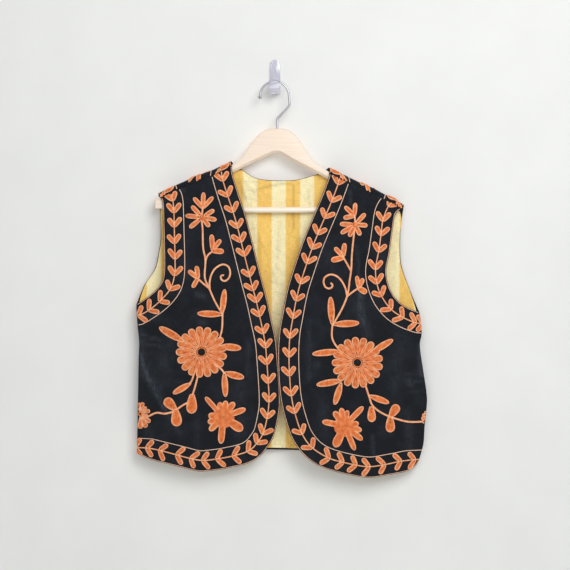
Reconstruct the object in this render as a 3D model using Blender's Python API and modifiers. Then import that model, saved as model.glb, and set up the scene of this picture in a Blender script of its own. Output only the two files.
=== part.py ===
"""Embroidered velvet vest, hanging open on a wooden hanger from a clear wall hook.

Frame: origin on the wall hook's flat back, on its middle line, +X to the viewer's right, +Y into the
wall, +Z up.  Tables are in millimetres and are turned to metres where a mesh is made.
"""
import math

import bpy
from mathutils import Vector
from mathutils.geometry import delaunay_2d_cdt

# ---------------------------------------------------------------- sizes, mm
HANGER_Y = -24.0          # middle plane of hanger, bar and wire
ROLL = 9.2                # radius of the back where it rolls over the hanger arms
SEAM_DROP = 10.2          # shoulder seam below the ridge, on the front
SEAM_GAP = 0.3
VELVET = 2.0              # wall of velvet with its facing
LINING = 1.0
LINING_GAP = 0.8
THREAD = 1.2              # height of the chain stitch
THREAD_GAP = 0.6
ARM_THICK = 12.0
BAR_RADIUS = 5.3
WIRE_RADIUS = 1.9
PLATE_WIDE, PLATE_THICK, PLATE_TOP = 18.4, 2.6, 34.5
LIP_WIDE, LIP_HIGH = 21.0, 22.6          # the oval lip of the wall hook
FRONT_STEP, BACK_STEP = 21.5, 28.0       # spacing of the points inside a panel
CHEST_FRONT, CHEST_BACK = 17.0, 15.5     # how far each layer stands off the side seam
SIDE_SPREAD = 92.0        # over this width from the side seam
VINE_IN = 20.0            # a border's vine runs this far in from the edge
STEM_WIDE = 3.2
PAIRS = {                  # feet of a border's pairs of leaves, along its stem from the shoulder
    "right": (21, 51, 82, 111, 137, 163, 202.5, 227.5, 250, 276, 307, 333, 364, 397.5, 431, 462,
              492, 512, 534.5, 562, 591, 618.5, 639.5, 664.5, 697, 720.5),
    "left": (17, 50, 83, 113.5, 142, 171, 207.5, 240, 272.5, 309, 342.5, 376, 412, 444, 484.5,
             517.5, 553, 578.5, 603.5, 627.5, 655.5, 685, 710),
    "right armhole": (11.5, 34, 59.5, 90.5, 118.5, 148, 176, 202.5, 228.5),
    "left armhole": (15.5, 47, 72.5, 101.5, 134, 160, 184, 215, 241, 266.5),
}
LEAF_LONG, LEAF_WIDE = 19.5, 9.2
LEAF_TURN, LEVEL_TURN = 36.0, 15.0       # leaf from the stem, and what is added where it runs level

# ---------------------------------------------------------------- outlines (x, z), mm
RIDGE = {
    "right": [(-60, -145), (-79, -154.4), (-112, -170.1), (-124.5, -174.7), (-149, -183.7),
              (-164, -191.1), (-178, -197.1), (-212, -212.9), (-222, -218)],
    "left": [(80, -157), (97, -165.3), (134, -183.4), (151, -191.7), (179, -203.4),
             (199, -214.5), (217, -222.1), (234.6, -234.6), (244, -241)],
}
SIDE = {
    "right": [(-251.6, -414.5), (-249.4, -449.8), (-246.2, -482.4), (-247.2, -516.8),
              (-248.3, -581.9), (-249.4, -636.2), (-250.5, -684.9)],
    "left": [(262.5, -428.5), (266.6, -465.5), (263.2, -489.6), (269.9, -537.9), (276.4, -586.2),
             (272, -636.6), (270.5, -664), (265.8, -684), (260, -701.5)],
}
FRONT_EDGE = {
    "right": [(-77.6, -165.0), (-76.2, -178.3), (-64.3, -217.2), (-52.5, -252.5), (-38.9, -305.5),
              (-25.2, -360.6), (-13.4, -405.6), (-5.4, -442.5), (2.2, -478.7), (5.6, -516.8),
              (8.6, -560.2), (9.6, -592.8), (6.6, -618), (-1.6, -652), (-12.7, -671.5),
              (-28.1, -689.2), (-50, -701.4), (-82.9, -709), (-104.8, -712.8), (-131, -715.5),
              (-148.6, -713.4), (-170.5, -707.8), (-192.4, -702.5), (-225.3, -694.8)],
    "left": [(98.6, -176.5), (98.3, -181.9), (85.4, -217.2), (68.8, -256.5), (50.1, -301.5),
             (34.6, -346.8), (22.6, -386.1), (12.9, -435.1), (7.8, -465), (5.6, -505),
             (7.8, -560.2), (13.2, -599.3), (24.3, -638.7), (35.1, -663.2), (52.7, -685.9),
             (74.6, -702.5), (101, -713.3), (133.9, -721.6), (171.2, -726.5), (213, -721),
             (239.3, -716.2)],
}
HEM_CORNER = {             # where a front's hem turns up to meet the side seam
    "right": [(-250.5, -684.9)],
    "left": [(252.5, -710), (260, -701.5)],
}
ARMHOLE = {                # front panels, from the shoulder seam down to the side seam
    "right": [(-207.4, -221.2), (-203.6, -229), (-201.6, -272.4), (-199.8, -330.3),
              (-200.7, -361.1), (-206.5, -377.4), (-223.4, -395.5), (-251.6, -414.5)],
    "left": [(229.5, -241.2), (218.6, -250.7), (213, -282), (207.2, -321.3), (201.3, -356.6),
             (209.1, -388.2), (224.8, -409.5), (243, -421), (262.5, -428.5)],
}
BACK_ARMHOLE = {           # back panel, from the side seam up to the shoulder's roll
    "right": [(-251.6, -414.5), (-236.9, -378), (-219.4, -350.8), (-212.5, -321.3),
              (-208.5, -291.8), (-209.6, -244.7), (-211.6, -222)],
    "left": [(262.5, -428.5), (247.5, -392), (233.8, -353.8), (229.4, -331), (228.9, -291),
             (231.8, -256), (234.2, -243)],
}
BACK_NECK = [(-73, -161.5), (-61.2, -167.8), (-53.9, -172.9), (-34.4, -183.8), (-5.1, -187.9),
             (31.1, -187.9), (49.2, -184.8), (75.7, -177.2), (90, -171.5)]
BACK_HEM = [(-250.5, -684.9), (-180, -682), (-90, -680), (11, -680), (100, -684.5),
            (190, -692), (260, -701.5)]

# soft folds: panel, (x, z) of both ends, half width, how far it stands forward
FOLDS = [
    ("right", (-250, -484), (-205, -480), 15, -2.0),
    ("right", (-205, -500), (-212, -640), 25, 2.2),
    ("right", (-170, -400), (-196, -520), 22, -1.6),
    ("right", (-60, -440), (-95, -690), 32, 2.2),
    ("right", (-30, -300), (-80, -230), 22, -1.4),
    ("left", (266, -490), (222, -503), 16, -2.2),
    ("left", (167, -395), (172, -470), 22, 1.8),
    ("left", (166, -570), (171, -726), 28, 2.4),
    ("left", (250, -505), (246, -600), 24, 2.0),
    ("left", (80, -430), (75, -700), 34, 2.2),
    ("left", (212, -380), (190, -480), 22, -1.6),
    ("back", (-150, -250), (-120, -660), 34, -2.4),
    ("back", (150, -260), (140, -670), 34, -2.4),
    ("back", (-60, -190), (-20, -330), 24, 1.8),
    ("back", (80, -190), (30, -330), 24, 1.8),
    ("back", (5, -380), (0, -680), 38, 2.6),
]


# ---------------------------------------------------------------- small maths
def at(points, x):
    """Second column of a table at x, straight between its rows."""
    rows = sorted(points)
    if x <= rows[0][0]:
        return rows[0][1]
    for (xa, za), (xb, zb) in zip(rows, rows[1:]):
        if x <= xb:
            return za + (zb - za) * (x - xa) / (xb - xa)
    return rows[-1][1]


def ease(t):
    t = min(1.0, max(0.0, t))
    return t * t * (3 - 2 * t)


def curve(points, step, closed=False):
    """Catmull-Rom through the points, sampled about every step."""
    n = len(points)
    out = []
    for i in range(n if closed else n - 1):
        if closed:
            p = [Vector(points[(i + k) % n]) for k in (-1, 0, 1, 2)]
        else:
            p = [Vector(points[min(n - 1, max(0, i + k))]) for k in (-1, 0, 1, 2)]
        parts = max(1, round((p[2] - p[1]).length / step))
        for j in range(parts):
            t = j / parts
            out.append(0.5 * (2 * p[1] + (p[2] - p[0]) * t
                              + (2 * p[0] - 5 * p[1] + 4 * p[2] - p[3]) * t * t
                              + (3 * p[1] - p[0] - 3 * p[2] + p[3]) * t ** 3))
    if not closed:
        out.append(Vector(points[-1]))
    return out


def evened(path, step):
    """The same path with its points an even step apart."""
    run = [0.0]
    for a, b in zip(path, path[1:]):
        run.append(run[-1] + (b - a).length)
    count = max(1, round(run[-1] / step))
    out, k = [], 0
    for i in range(count + 1):
        s = run[-1] * i / count
        while k < len(run) - 2 and run[k + 1] < s:
            k += 1
        t = (s - run[k]) / max(1e-9, run[k + 1] - run[k])
        out.append(path[k].lerp(path[k + 1], t))
    return out


def normals(path):
    """Unit normals, to the left of the way the path runs."""
    out = []
    for i in range(len(path)):
        d = path[min(i + 1, len(path) - 1)] - path[max(i - 1, 0)]
        out.append(Vector((-d.y, d.x)).normalized())
    return out


def offset(path, d):
    """A path moved sideways by d, with the loops that a tight bend makes cut out."""
    moved = [p + n * d for p, n in zip(path, normals(path))]
    near = abs(d) * 0.97
    return [q for q in moved if all((q - p).length > near for p in path)]


def from_segment(x, z, a, b):
    ax, az, bx, bz = *a, *b
    dx, dz = bx - ax, bz - az
    t = max(0.0, min(1.0, ((x - ax) * dx + (z - az) * dz) / (dx * dx + dz * dz)))
    return math.hypot(x - ax - t * dx, z - az - t * dz)


# ---------------------------------------------------------------- where the cloth hangs
def side_x(hand, z):
    table = [(row[1], row[0]) for row in SIDE[hand]]
    return at(table, z)


def folds(panel, x, z):
    """How far the soft folds stand out, dying away at the side seams."""
    seam = min(x - side_x("right", z), side_x("left", z) - x)
    return ease(seam / 24) * sum(h * math.exp(-(from_segment(x, z, a, b) / w) ** 2)
                                 for name, a, b, w, h in FOLDS if name == panel)


def stand_off(x, z):
    """0 at the side seams, 1 over the body."""
    w = min(x - side_x("right", z), side_x("left", z) - x)
    return 1 - (1 - min(1.0, max(0.0, w / SIDE_SPREAD))) ** 2.2


def seam_y(z):
    return -26.0 + 2.0 * ease((-420 - z) / 260)


def ridge(x):
    return at(RIDGE["right"], x) if x < 8 else at(RIDGE["left"], x)


def near_shoulder(x, z):
    return ease(1 - (ridge(x) - 12 - z) / 120)


def front_y(hand, x, z):
    """Middle of a front panel's wall."""
    base = seam_y(z) - VELVET / 2 - 0.2
    y = base - CHEST_FRONT * stand_off(x, z) - folds(hand, x, z)
    lift = 3.2 if hand == "left" else 0.0
    y -= lift * ease(1 - abs(x - 9) / 60) * ease((-380 - z) / 80)
    return y + (HANGER_Y - ROLL - y) * near_shoulder(x, z)


def back_y(x, z):
    """Middle of the back panel's wall, below its roll."""
    base = seam_y(z) + VELVET / 2 + 0.2
    y = base + CHEST_BACK * stand_off(x, z) - folds("back", x, z)
    return y + (HANGER_Y + ROLL - y) * near_shoulder(x, z)


def lift_front(hand):
    return lambda p: Vector((p[0], front_y(hand, p[0], p[1]), p[1]))


def lift_back(p):
    """The back panel, whose second measure runs on over the shoulder's roll."""
    x, t = p
    start = ridge(x) - ROLL
    if abs(x) < 60 or t <= start:
        return Vector((x, back_y(x, t), t))
    angle = (t - start) / ROLL
    if angle <= math.pi:
        return Vector((x, HANGER_Y + ROLL * math.cos(angle), start + ROLL * math.sin(angle)))
    return Vector((x, HANGER_Y - ROLL, start - (angle - math.pi) * ROLL))


def lift_lining(p):
    out = VELVET / 2 + LINING_GAP + LINING / 2
    return Vector((p[0], back_y(p[0], p[1]) - out, p[1]))


# ---------------------------------------------------------------- meshes
def inside(point, loop):
    x, z = point
    hit = False
    for (xa, za), (xb, zb) in zip(loop, loop[1:] + loop[:1]):
        if (za > z) != (zb > z) and x < xa + (xb - xa) * (z - za) / (zb - za):
            hit = not hit
    return hit


def fill(shapes, extra=(), holes=(), lines=()):
    """One flat triangle mesh over all the shapes, as their union, with extra points inside,
    and with edges along the lines."""
    points, faces = [], []
    for shape in list(shapes) + list(holes):
        shape = [Vector(p) for p in shape]
        area = sum(a.x * b.y - b.x * a.y for a, b in zip(shape, shape[1:] + shape[:1]))
        if area < 0:
            shape.reverse()
        faces.append(list(range(len(points), len(points) + len(shape))))
        points += shape
    points += [Vector(p) for p in extra]
    ties = []
    for line in lines:
        ties += [(len(points) + k, len(points) + k + 1) for k in range(len(line) - 1)]
        points += [Vector(p) for p in line]
    out, _, tris, _, _, _ = delaunay_2d_cdt(points, ties, faces, 1, 0.02)
    loops = [[tuple(p) for p in shape] for shape in shapes]
    gaps = [[tuple(p) for p in hole] for hole in holes]
    kept = []
    for tri in tris:
        mid = sum((out[i] for i in tri), Vector((0, 0))) / 3
        if any(inside(mid, loop) for loop in loops) and not any(inside(mid, g) for g in gaps):
            kept.append(tuple(tri))
    return out, kept


def edges_once(tris):
    seen = {}
    for a, b, c in tris:
        for e in ((a, b), (b, c), (c, a)):
            seen[e] = True
    return [e for e in seen if (e[1], e[0]) not in seen]


def wall(flat, tris, lift, low, high):
    """A closed wall over a flat mesh: both faces stand off the lifted surface by low and high,
    counted towards the outside of the garment."""
    used = sorted({i for t in tris for i in t})
    index = {old: new for new, old in enumerate(used)}
    tris = [tuple(index[i] for i in t) for t in tris]
    mid = [lift((flat[i].x, flat[i].y)) for i in used]
    out = []
    for i in used:
        p = flat[i]
        e = 1.5
        dx = lift((p.x + e, p.y)) - lift((p.x - e, p.y))
        dz = lift((p.x, p.y + e)) - lift((p.x, p.y - e))
        out.append(dx.cross(dz).normalized())
    n = len(mid)
    points = [m + o * high for m, o in zip(mid, out)] + [m + o * low for m, o in zip(mid, out)]
    faces = [t for t in tris] + [(a + n, c + n, b + n) for a, b, c in tris]
    faces += [(b, a, a + n, b + n) for a, b in edges_once(tris)]
    return points, faces


def make(name, points, faces, material, turn=False):
    if turn:
        faces = [tuple(reversed(f)) for f in faces]
    mesh = bpy.data.meshes.new(name)
    mesh.from_pydata([tuple(c / 1000 for c in p) for p in points], [], faces)
    mesh.update()
    body = bpy.data.objects.new(name, mesh)
    COLLECTION.objects.link(body)
    mesh.materials.append(MATERIALS[material])
    return body


def lattice(loop, step, clear=0.45):
    """Points of a shifted lattice that lie inside the loop, clear of its edge."""
    xs, zs = [p[0] for p in loop], [p[1] for p in loop]
    loop = [tuple(p) for p in loop]
    out = []
    row = 0
    z = min(zs) + step * 0.6
    while z < max(zs):
        x = min(xs) + (step * 0.5 if row % 2 else 0) + 1
        while x < max(xs):
            if inside((x, z), loop):
                edge = min(from_segment(x, z, a, b) for a, b in zip(loop, loop[1:] + loop[:1]))
                if edge > step * clear:
                    out.append((x, z))
            x += step
        z += step * 0.87
        row += 1
    return out


# ---------------------------------------------------------------- materials
def new_material(name, colour, roughness=0.8, metallic=0.0):
    material = bpy.data.materials.new(name)
    material.use_nodes = True
    shader = material.node_tree.nodes["Principled BSDF"]
    shader.inputs["Base Color"].default_value = (*colour, 1.0)
    shader.inputs["Roughness"].default_value = roughness
    shader.inputs["Metallic"].default_value = metallic
    material.diffuse_color = (*colour, 1.0)
    return material


for old in list(bpy.data.objects):
    bpy.data.objects.remove(old, do_unlink=True)
COLLECTION = bpy.data.collections.new("embroidered_velvet_vest")
CUTTERS = bpy.data.collections.new("cutters")
for group in (COLLECTION, CUTTERS):
    bpy.context.scene.collection.children.link(group)
MATERIALS = {
    "velvet": new_material("black_cotton_velvet", (0.020, 0.021, 0.026), 0.9),
    "lining": new_material("striped_cotton_lining", (0.86, 0.60, 0.20), 0.85),
    "thread": new_material("orange_chain_stitch", (0.75, 0.24, 0.08), 0.75),
    "wood": new_material("clear_coated_beech", (0.86, 0.70, 0.50), 0.5),
    "wire": new_material("polished_steel_wire", (0.62, 0.62, 0.62), 0.25, 1.0),
    "clear": new_material("clear_acrylic", (0.80, 0.80, 0.88), 0.1),
}

# ---------------------------------------------------------------- velvet panels
def seam_xs(hand):
    """Where the points of a shoulder seam lie, from the neck to the shoulder's tip."""
    neck, tip = FRONT_EDGE[hand][0][0], ARMHOLE[hand][0][0]
    return [neck + (tip - neck) * k / 6 for k in range(7)]


def front_loop(hand, step):
    """Seam from neck to shoulder tip, armhole, side, then hem and front edge back up."""
    top = [Vector((x, ridge(x) - SEAM_DROP - 0.6 * SEAM_GAP)) for x in seam_xs(hand)]
    edge = evened(curve([top[0]] + FRONT_EDGE[hand][1:] + HEM_CORNER[hand], step / 3), step)
    arm = evened(curve([top[-1]] + ARMHOLE[hand][1:], step / 3), step * 0.9)
    side = evened(curve(SIDE[hand], step / 3), step)
    return top[1:-1] + arm[:-1] + side[:-1] + edge[::-1]


def front_panel(hand):
    loop = front_loop(hand, FRONT_STEP * 0.72)
    flat, tris = fill([loop], lattice(loop, FRONT_STEP))
    points, faces = wall(flat, tris, lift_front(hand), -VELVET / 2, VELVET / 2)
    return make(hand + "_front", points, faces, "velvet")


def back_loop(step):
    over = math.pi * ROLL + SEAM_DROP - ROLL - ROLL - 0.6 * SEAM_GAP   # ridge height to seam edge
    crest = math.pi * ROLL / 2 - ROLL
    sides = {}
    for hand, mid, tip in (("right", -79.2, -211.6), ("left", 98.6, 234.4)):
        xs = seam_xs(hand)
        sides[hand] = {"neck": [(mid, ridge(mid) + crest), (xs[0], ridge(xs[0]) + over)],
                       "seam": [(x, ridge(x) + over) for x in xs[1:-1]],
                       "tip": [(xs[-1], ridge(xs[-1]) + over), (tip, ridge(tip) + crest)]}
    fine = step / 3
    neck = ([sides["right"]["neck"][1], sides["right"]["neck"][0]] + BACK_NECK
            + sides["left"]["neck"])
    neck = evened(curve(neck, fine), step * 0.6)
    loop = neck + [Vector(p) for p in sides["left"]["seam"]]
    down = curve(sides["left"]["tip"] + BACK_ARMHOLE["left"][::-1], fine)
    loop += evened(down, step * 0.6)[:-1]
    loop += evened(curve(SIDE["left"], fine), step)[:-1]
    loop += evened(curve(BACK_HEM[::-1], fine), step)[:-1]
    loop += evened(curve(SIDE["right"][::-1], fine), step)[:-1]
    up = curve(BACK_ARMHOLE["right"] + sides["right"]["tip"][::-1], fine)
    loop += evened(up, step * 0.6)
    loop += [Vector(p) for p in sides["right"]["seam"][::-1]]
    return loop


def back_lattice():
    loop = back_loop(BACK_STEP * 0.8)
    return [p for p in lattice(loop, BACK_STEP) if p[1] < ridge(p[0]) - ROLL - 7]


def back_panel():
    loop = back_loop(BACK_STEP * 0.8)
    edge = [tuple(p) for p in loop]
    along = []
    for start, stop in ((-84.0, -204.0), (103.0, 226.0)):
        for k in range(-1, 6):
            line = []
            for i in range(9):
                x = start + (stop - start) * i / 8
                t = ridge(x) - ROLL + math.pi * ROLL * (k + 0.5) / 6
                clear = min(from_segment(x, t, a, b) for a, b in zip(edge, edge[1:] + edge[:1]))
                if inside((x, t), edge) and clear > 1.6:
                    line.append((x, t))
            along.append(line)
    flat, tris = fill([loop], back_lattice(), (), along)
    points, faces = wall(flat, tris, lift_back, -VELVET / 2, VELVET / 2)
    return make("back", points, faces, "velvet", turn=False)


def lining_panel():
    inset = 3.0
    loop = []
    neck = [(x, min(z, ridge(x) - 16) - inset) for x, z in BACK_NECK[1:-1]]
    loop += evened(curve(neck, 6), 12)
    for hand in ("left", "right"):
        way = 1 if hand == "left" else -1
        arm = [(x - way * inset, min(z, ridge(x) - 30)) for x, z in BACK_ARMHOLE[hand][1:-1]]
        side = [(x - way * 5.0, z) for x, z in SIDE[hand][:-1]]
        shoulder = [(x, ridge(x) - 24) for x in ((105, 150, 195) if way > 0 else (-88, -130, -175))]
        column = shoulder + arm[::-1] + side
        column = evened(curve(column, 8), 18)
        loop += column if way > 0 else column[::-1]
        if way > 0:
            hem = [(x, z + 4.0) for x, z in BACK_HEM[::-1]]
            hem[0] = (hem[0][0] - 6, hem[0][1])
            hem[-1] = (hem[-1][0] + 6, hem[-1][1])
            loop += evened(curve(hem, 8), 22)
    edge = [tuple(p) for p in loop]
    shared = [p for p in back_lattice() if inside(p, edge)
              and min(from_segment(*p, a, b) for a, b in zip(edge, edge[1:] + edge[:1])) > 8]
    flat, tris = fill([loop], shared)
    points, faces = wall(flat, tris, lift_lining, -LINING / 2, LINING / 2)
    return make("back_lining", points, faces, "lining")



# ---------------------------------------------------------------- embroidery
def polar(angle, length):
    return Vector((math.cos(math.radians(angle)), math.sin(math.radians(angle)))) * length


def leaf(base, angle, long, wide, pointed=False):
    """One padded leaf, from its base along angle (degrees, 0 along +X)."""
    rows = (((0, 0.36), (0.3, 0.9), (0.62, 1.0), (0.95, 0.5)) if pointed
            else ((0, 0.5), (0.45, 1), (0.92, 0.72)))
    along, across = polar(angle, long), polar(angle + 90, wide / 2)
    base = Vector(base)
    side = [base + along * t + across * w for t, w in rows]
    back = [base + along * t - across * w for t, w in rows if w > 0]
    return side + back[::-1]


def stroke(path, wide):
    path = [Vector(p) for p in path]
    n = normals(path)
    return ([p + m * wide / 2 for p, m in zip(path, n)]
            + [p - m * wide / 2 for p, m in zip(path, n)][::-1])


def blob(centre, radius, sides, turn=0.0):
    return [Vector(centre) + polar(turn + 360 * k / sides, radius) for k in range(sides)]


def flower(centre, radius, petals, depth, turn=0.0):
    """A round flower's outline, with a dip between every two petals."""
    out = []
    for k in range(petals):
        a = turn + 360 * k / petals
        half = 180 / petals
        out += [Vector(centre) + polar(a, radius * (1 - depth)),
                Vector(centre) + polar(a + half * 0.6, radius),
                Vector(centre) + polar(a + half * 1.4, radius)]
    return out


def petalled(centre, petals, dip):
    """A flower's outline from its petals' angles and reaches; between every two it dips to a share
    of the shorter one's reach."""
    petals = sorted((angle % 360, reach) for angle, reach in petals)
    out = []
    for k, (angle, reach) in enumerate(petals):
        after, far = petals[(k + 1) % len(petals)]
        gap = (after - angle) % 360
        wide = 7.2
        out += [Vector(centre) + polar(angle - wide, reach), Vector(centre) + polar(angle + wide, reach),
                Vector(centre) + polar(angle + gap / 2, dip * min(reach, far))]
    return out


def short_of_seam(hand, loop):
    """The part of an outline that lies clear of its side seam, closed straight along it."""
    way = 1 if hand == "right" else -1
    return [p for p in loop if way * (p.x - side_x(hand, p.y)) > 1.6]


def stitched(name, shapes, lift, holes=(), extra=(), turn=False):
    """Raised embroidery: its shapes made one, on the panel's own surface, moved out."""
    rough, tris = fill(shapes, (), holes)
    rim = edges_once(tris)
    used = sorted({i for e in rim for i in e})
    index = {old: new for new, old in enumerate(used)}
    loops = [[tuple(p) for p in shape] for shape in shapes]
    gaps = [[tuple(p) for p in hole] for hole in holes]
    flat, _, tris, _, _, _ = delaunay_2d_cdt([rough[i] for i in used] + [Vector(p) for p in extra],
                                             [(index[a], index[b]) for a, b in rim], [], 0, 0.01)
    mids = [sum((flat[i] for i in tri), Vector((0, 0))) / 3 for tri in tris]
    tris = [tuple(tri) for tri, mid in zip(tris, mids)
            if any(inside(mid, loop) for loop in loops) and not any(inside(mid, g) for g in gaps)]
    low = VELVET / 2 + THREAD_GAP
    points, faces = wall(flat, tris, lift, low, low + THREAD)
    return make(name, points, faces, "thread", turn)


def vine(edge, hand, inward, feet):
    """A border's stem, run on level to the side seam, with its pairs of leaves, which open back
    towards the edge's start."""
    way = 1 if hand == "right" else -1
    beyond = (edge[-1][0] - way * 40, edge[-1][1])
    path = evened(offset(evened(curve(edge + [beyond], 6), 6), inward), 2)
    path = [p for p in path if way * (p.x - side_x(hand, p.y)) > 2.0]
    run = sum((b - a).length for a, b in zip(path, path[1:]))
    places = [path[2]]
    shapes = []
    for k, foot in enumerate(feet):
        i = round(foot / run * (len(path) - 1))
        d = (path[min(i + 2, len(path) - 1)] - path[i - 2]).normalized()
        back = math.degrees(math.atan2(-d.y, -d.x))
        places.append(path[i])
        turn = LEAF_TURN + LEVEL_TURN * abs(d.x)
        wobble = 4.0 * math.sin(2.3 * k + inward)
        for side in (-1, 1):
            room = (foot - 1.5) / math.cos(math.radians(turn + side * wobble))
            long = min(LEAF_LONG * (1 + 0.06 * math.sin(1.7 * k + side)), room)
            shapes.append(leaf(path[i] + d * 2.4, back + side * turn + wobble, long, LEAF_WIDE))
    return shapes + [stroke(places + [path[-1]], STEM_WIDE)]


SPRAY = {
    "right": {
        "stems": [[(-132, -262), (-130, -280), (-129, -312), (-125, -334), (-126, -365),
                   (-119, -383), (-108, -408), (-95, -430)],
                  [(-130, -238), (-132, -258)],
                  [(-125, -336), (-121, -325.5), (-112.5, -318.5)],
                  [(-119, -384), (-128, -377), (-138, -368)],
                  [(-94, -430), (-95, -458), (-101, -480)],
                  [(-110, -520), (-97, -530), (-90, -539)],
                  [(-138, -540), (-143, -560), (-149, -580)],
                  [(-146, -540), (-150, -552), (-158, -561)],
                  [(-150, -588), (-166, -596), (-180, -606)],
                  [(-180, -607), (-198, -611), (-214, -610), (-232, -619)]],
        "curl": [(-117, -388), (-117.5, -375), (-114.5, -361), (-107, -349), (-94.5, -342),
                 (-84.5, -345), (-80.5, -354), (-81.5, -364), (-87.5, -371), (-94, -371),
                 (-97.5, -366), (-96, -361.5), (-91.5, -361.5)],
        "top": (-131, -257), "big": (-132, -500),
    },
    "left": {
        "stems": [[(145, -274), (142.5, -290), (139, -324), (138, -349), (135, -371),
                   (131, -397), (121, -422), (105, -450)],
                  [(144, -252), (146, -272)],
                  [(137, -353), (130.5, -341), (123, -328)],
                  [(131, -399), (141, -391), (150, -385)],
                  [(104, -450), (103, -472), (110, -488), (124, -503)],
                  [(162, -555), (170, -580), (176, -596), (190, -608), (208, -617)],
                  [(208, -617), (240, -626), (268, -627)]],
        "curl": [(130.5, -401), (128, -387), (122, -374), (113, -364), (101.5, -360), (91.5, -364),
                 (88, -372), (90.5, -381.5), (97, -385.5), (103, -383), (104, -378), (100.5, -375.5)],
        "top": (145, -270), "big": (149, -519),
    },
}
# leaves: hand, base, angle, length, width, pointed
LEAVES = [
    ("right", (-130, -240), 88, 29, 8.5, False), ("right", (-130, -240), 48, 28, 8.5, False),
    ("right", (-130, -240), 132, 26, 8.5, False),
    ("right", (-112, -316), 94, 28.5, 9.5, False), ("right", (-111, -314.5), 52, 22.5, 8.8, False),
    ("right", (-114, -317), -4, 22.5, 9.8, False),
    ("right", (-138, -367), 98, 23, 9, False), ("right", (-138, -367), 142, 23, 9, False),
    ("right", (-138, -366), 240, 21, 8.5, False),
    ("right", (-95, -432), 84, 46, 11, True), ("right", (-93, -432), 178, 47, 12, True),
    ("right", (-164, -481), 150, 52, 14, True), ("right", (-98, -489), -6, 38, 13, True),
    ("right", (-91, -537), -14, 37, 13, True), ("right", (-91, -536), -87, 45, 11.5, True),
    ("right", (-151, -556), 210, 38, 11, True),
    ("right", (-149, -576), 268, 35, 19, False),
    ("right", (-179, -604), 134, 27.5, 18.5, False), ("right", (-179, -603), 275, 31, 19, False),
    ("left", (144, -254), 86, 24, 8.5, False), ("left", (144, -254), 136, 25, 8.5, False),
    ("left", (144, -254), 192, 21, 9, False),
    ("left", (123.5, -327.5), 84, 24.5, 9.3, False), ("left", (123, -327.5), 133, 22.5, 8.8, False),
    ("left", (124, -329.5), 193, 23, 10.2, False),
    ("left", (151, -384), 98, 22, 7.5, False), ("left", (151.5, -383.5), 64, 18.5, 8.8, False),
    ("left", (151.5, -384.5), -32, 16.5, 10, False),
    ("left", (103, -450), 93, 50, 12.5, True), ("left", (104, -450), 3, 49, 12.5, True),
    ("left", (118, -498), 186, 51, 12, True), ("left", (174, -501), 31, 46, 12, True),
    ("left", (121, -551), 190, 47, 12, True), ("left", (120, -555), 253, 42, 12, True),
    ("left", (170, -578), -21, 39, 11, True),
    ("left", (174, -598), 272, 28, 15, False),
    ("left", (208, -617), 56, 26, 16.5, False), ("left", (208, -616), 271, 29, 17, False),
]
PETALS = {                  # the small top flowers' lower petals: angle, length
    "right": [(32, 26), (-10, 27), (-52, 22), (220, 30), (174, 31), (133, 29)],
    "left": [(47, 28), (-4, 23), (-64, 22), (243, 25), (212, 31), (178, 28)],
}
SMALL = {                   # the armed flowers: centre, then each arm's angle, reach, width
    "right": ((-93, -617), [(104, 27.5, 10.5), (80, 30, 10.5), (53, 33.5, 11.5), (174, 27, 11.5),
                            (200, 29.5, 11.5), (225, 35, 11.5), (132, 49, 9.5), (20, 43, 10.5),
                            (-34, 42.5, 17), (265, 48.5, 12)]),
    "left": ((126, -633), [(127, 32.5, 11.5), (101, 33, 10.5), (79, 29, 9.5), (10, 26, 10.5),
                           (-15, 32, 10.5), (-38, 41, 10.5), (46, 48.5, 10), (169, 41.5, 10.5),
                           (245, 42.5, 16.5), (-67, 48, 10)]),
}
SMALL_BODY = 21.0
SIDE_FLOWER = {             # cut by the side seams: centre, each petal's angle and reach, dip
    "right": ((-244, -613), [(100, 21), (76, 22), (48, 18), (20, 20), (-10, 15), (-37, 24),
                             (-64, 27), (-90, 27)], 0.76),
    "left": ((280, -621), [(120, 15), (150, 15), (180, 15), (210, 15), (240, 15)], 1.0),
}


def spray(hand):
    table = SPRAY[hand]
    shapes = [stroke(evened(curve(stem, 4), 12), STEM_WIDE) for stem in table["stems"]]
    shapes.append(stroke(evened(curve(table["curl"], 3), 7), STEM_WIDE))
    for name, base, angle, long, wide, pointed in LEAVES:
        if name == hand:
            shapes.append(leaf(base, angle, long, wide, pointed))
    for angle, long in PETALS[hand]:
        shapes.append(leaf(table["top"], angle, long, 8.5))
    shapes.append(blob(table["top"], 6, 6))
    shapes.append(flower(table["big"], 45, 17, 0.17))
    ring = [Vector(table["big"]) + polar(60 * k, 25) for k in range(6)]
    shapes.append(short_of_seam(hand, petalled(*SIDE_FLOWER[hand])))
    return stitched(hand + "_spray", shapes, lift_front(hand),
                    [blob(table["big"], 6.5, 8)], ring)


def arm(centre, angle, reach, wide):
    """A broad arm of a flower, with a round end."""
    along, across = polar(angle, 1), polar(angle + 90, wide / 2)
    rows = ((SMALL_BODY * 0.5, 1.0), (reach - wide * 0.35, 0.96), (reach, 0.42))
    side = [Vector(centre) + along * r + across * w for r, w in rows]
    return side + [Vector(centre) + along * r - across * w for r, w in rows[::-1]]


def small_flower(hand):
    centre, arms = SMALL[hand]
    shapes = [blob(centre, SMALL_BODY, 14, 7.0)] + [arm(centre, *row) for row in arms]
    return stitched(hand + "_small_flower", shapes, lift_front(hand))


def front_vines(hand):
    inward = -VINE_IN if hand == "right" else VINE_IN
    edge = vine(FRONT_EDGE[hand], hand, inward, PAIRS[hand])
    armhole = vine(ARMHOLE[hand], hand, -inward, PAIRS[hand + " armhole"])
    stitched(hand + "_edge_vine", edge, lift_front(hand))
    stitched(hand + "_armhole_vine", armhole, lift_front(hand))


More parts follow.
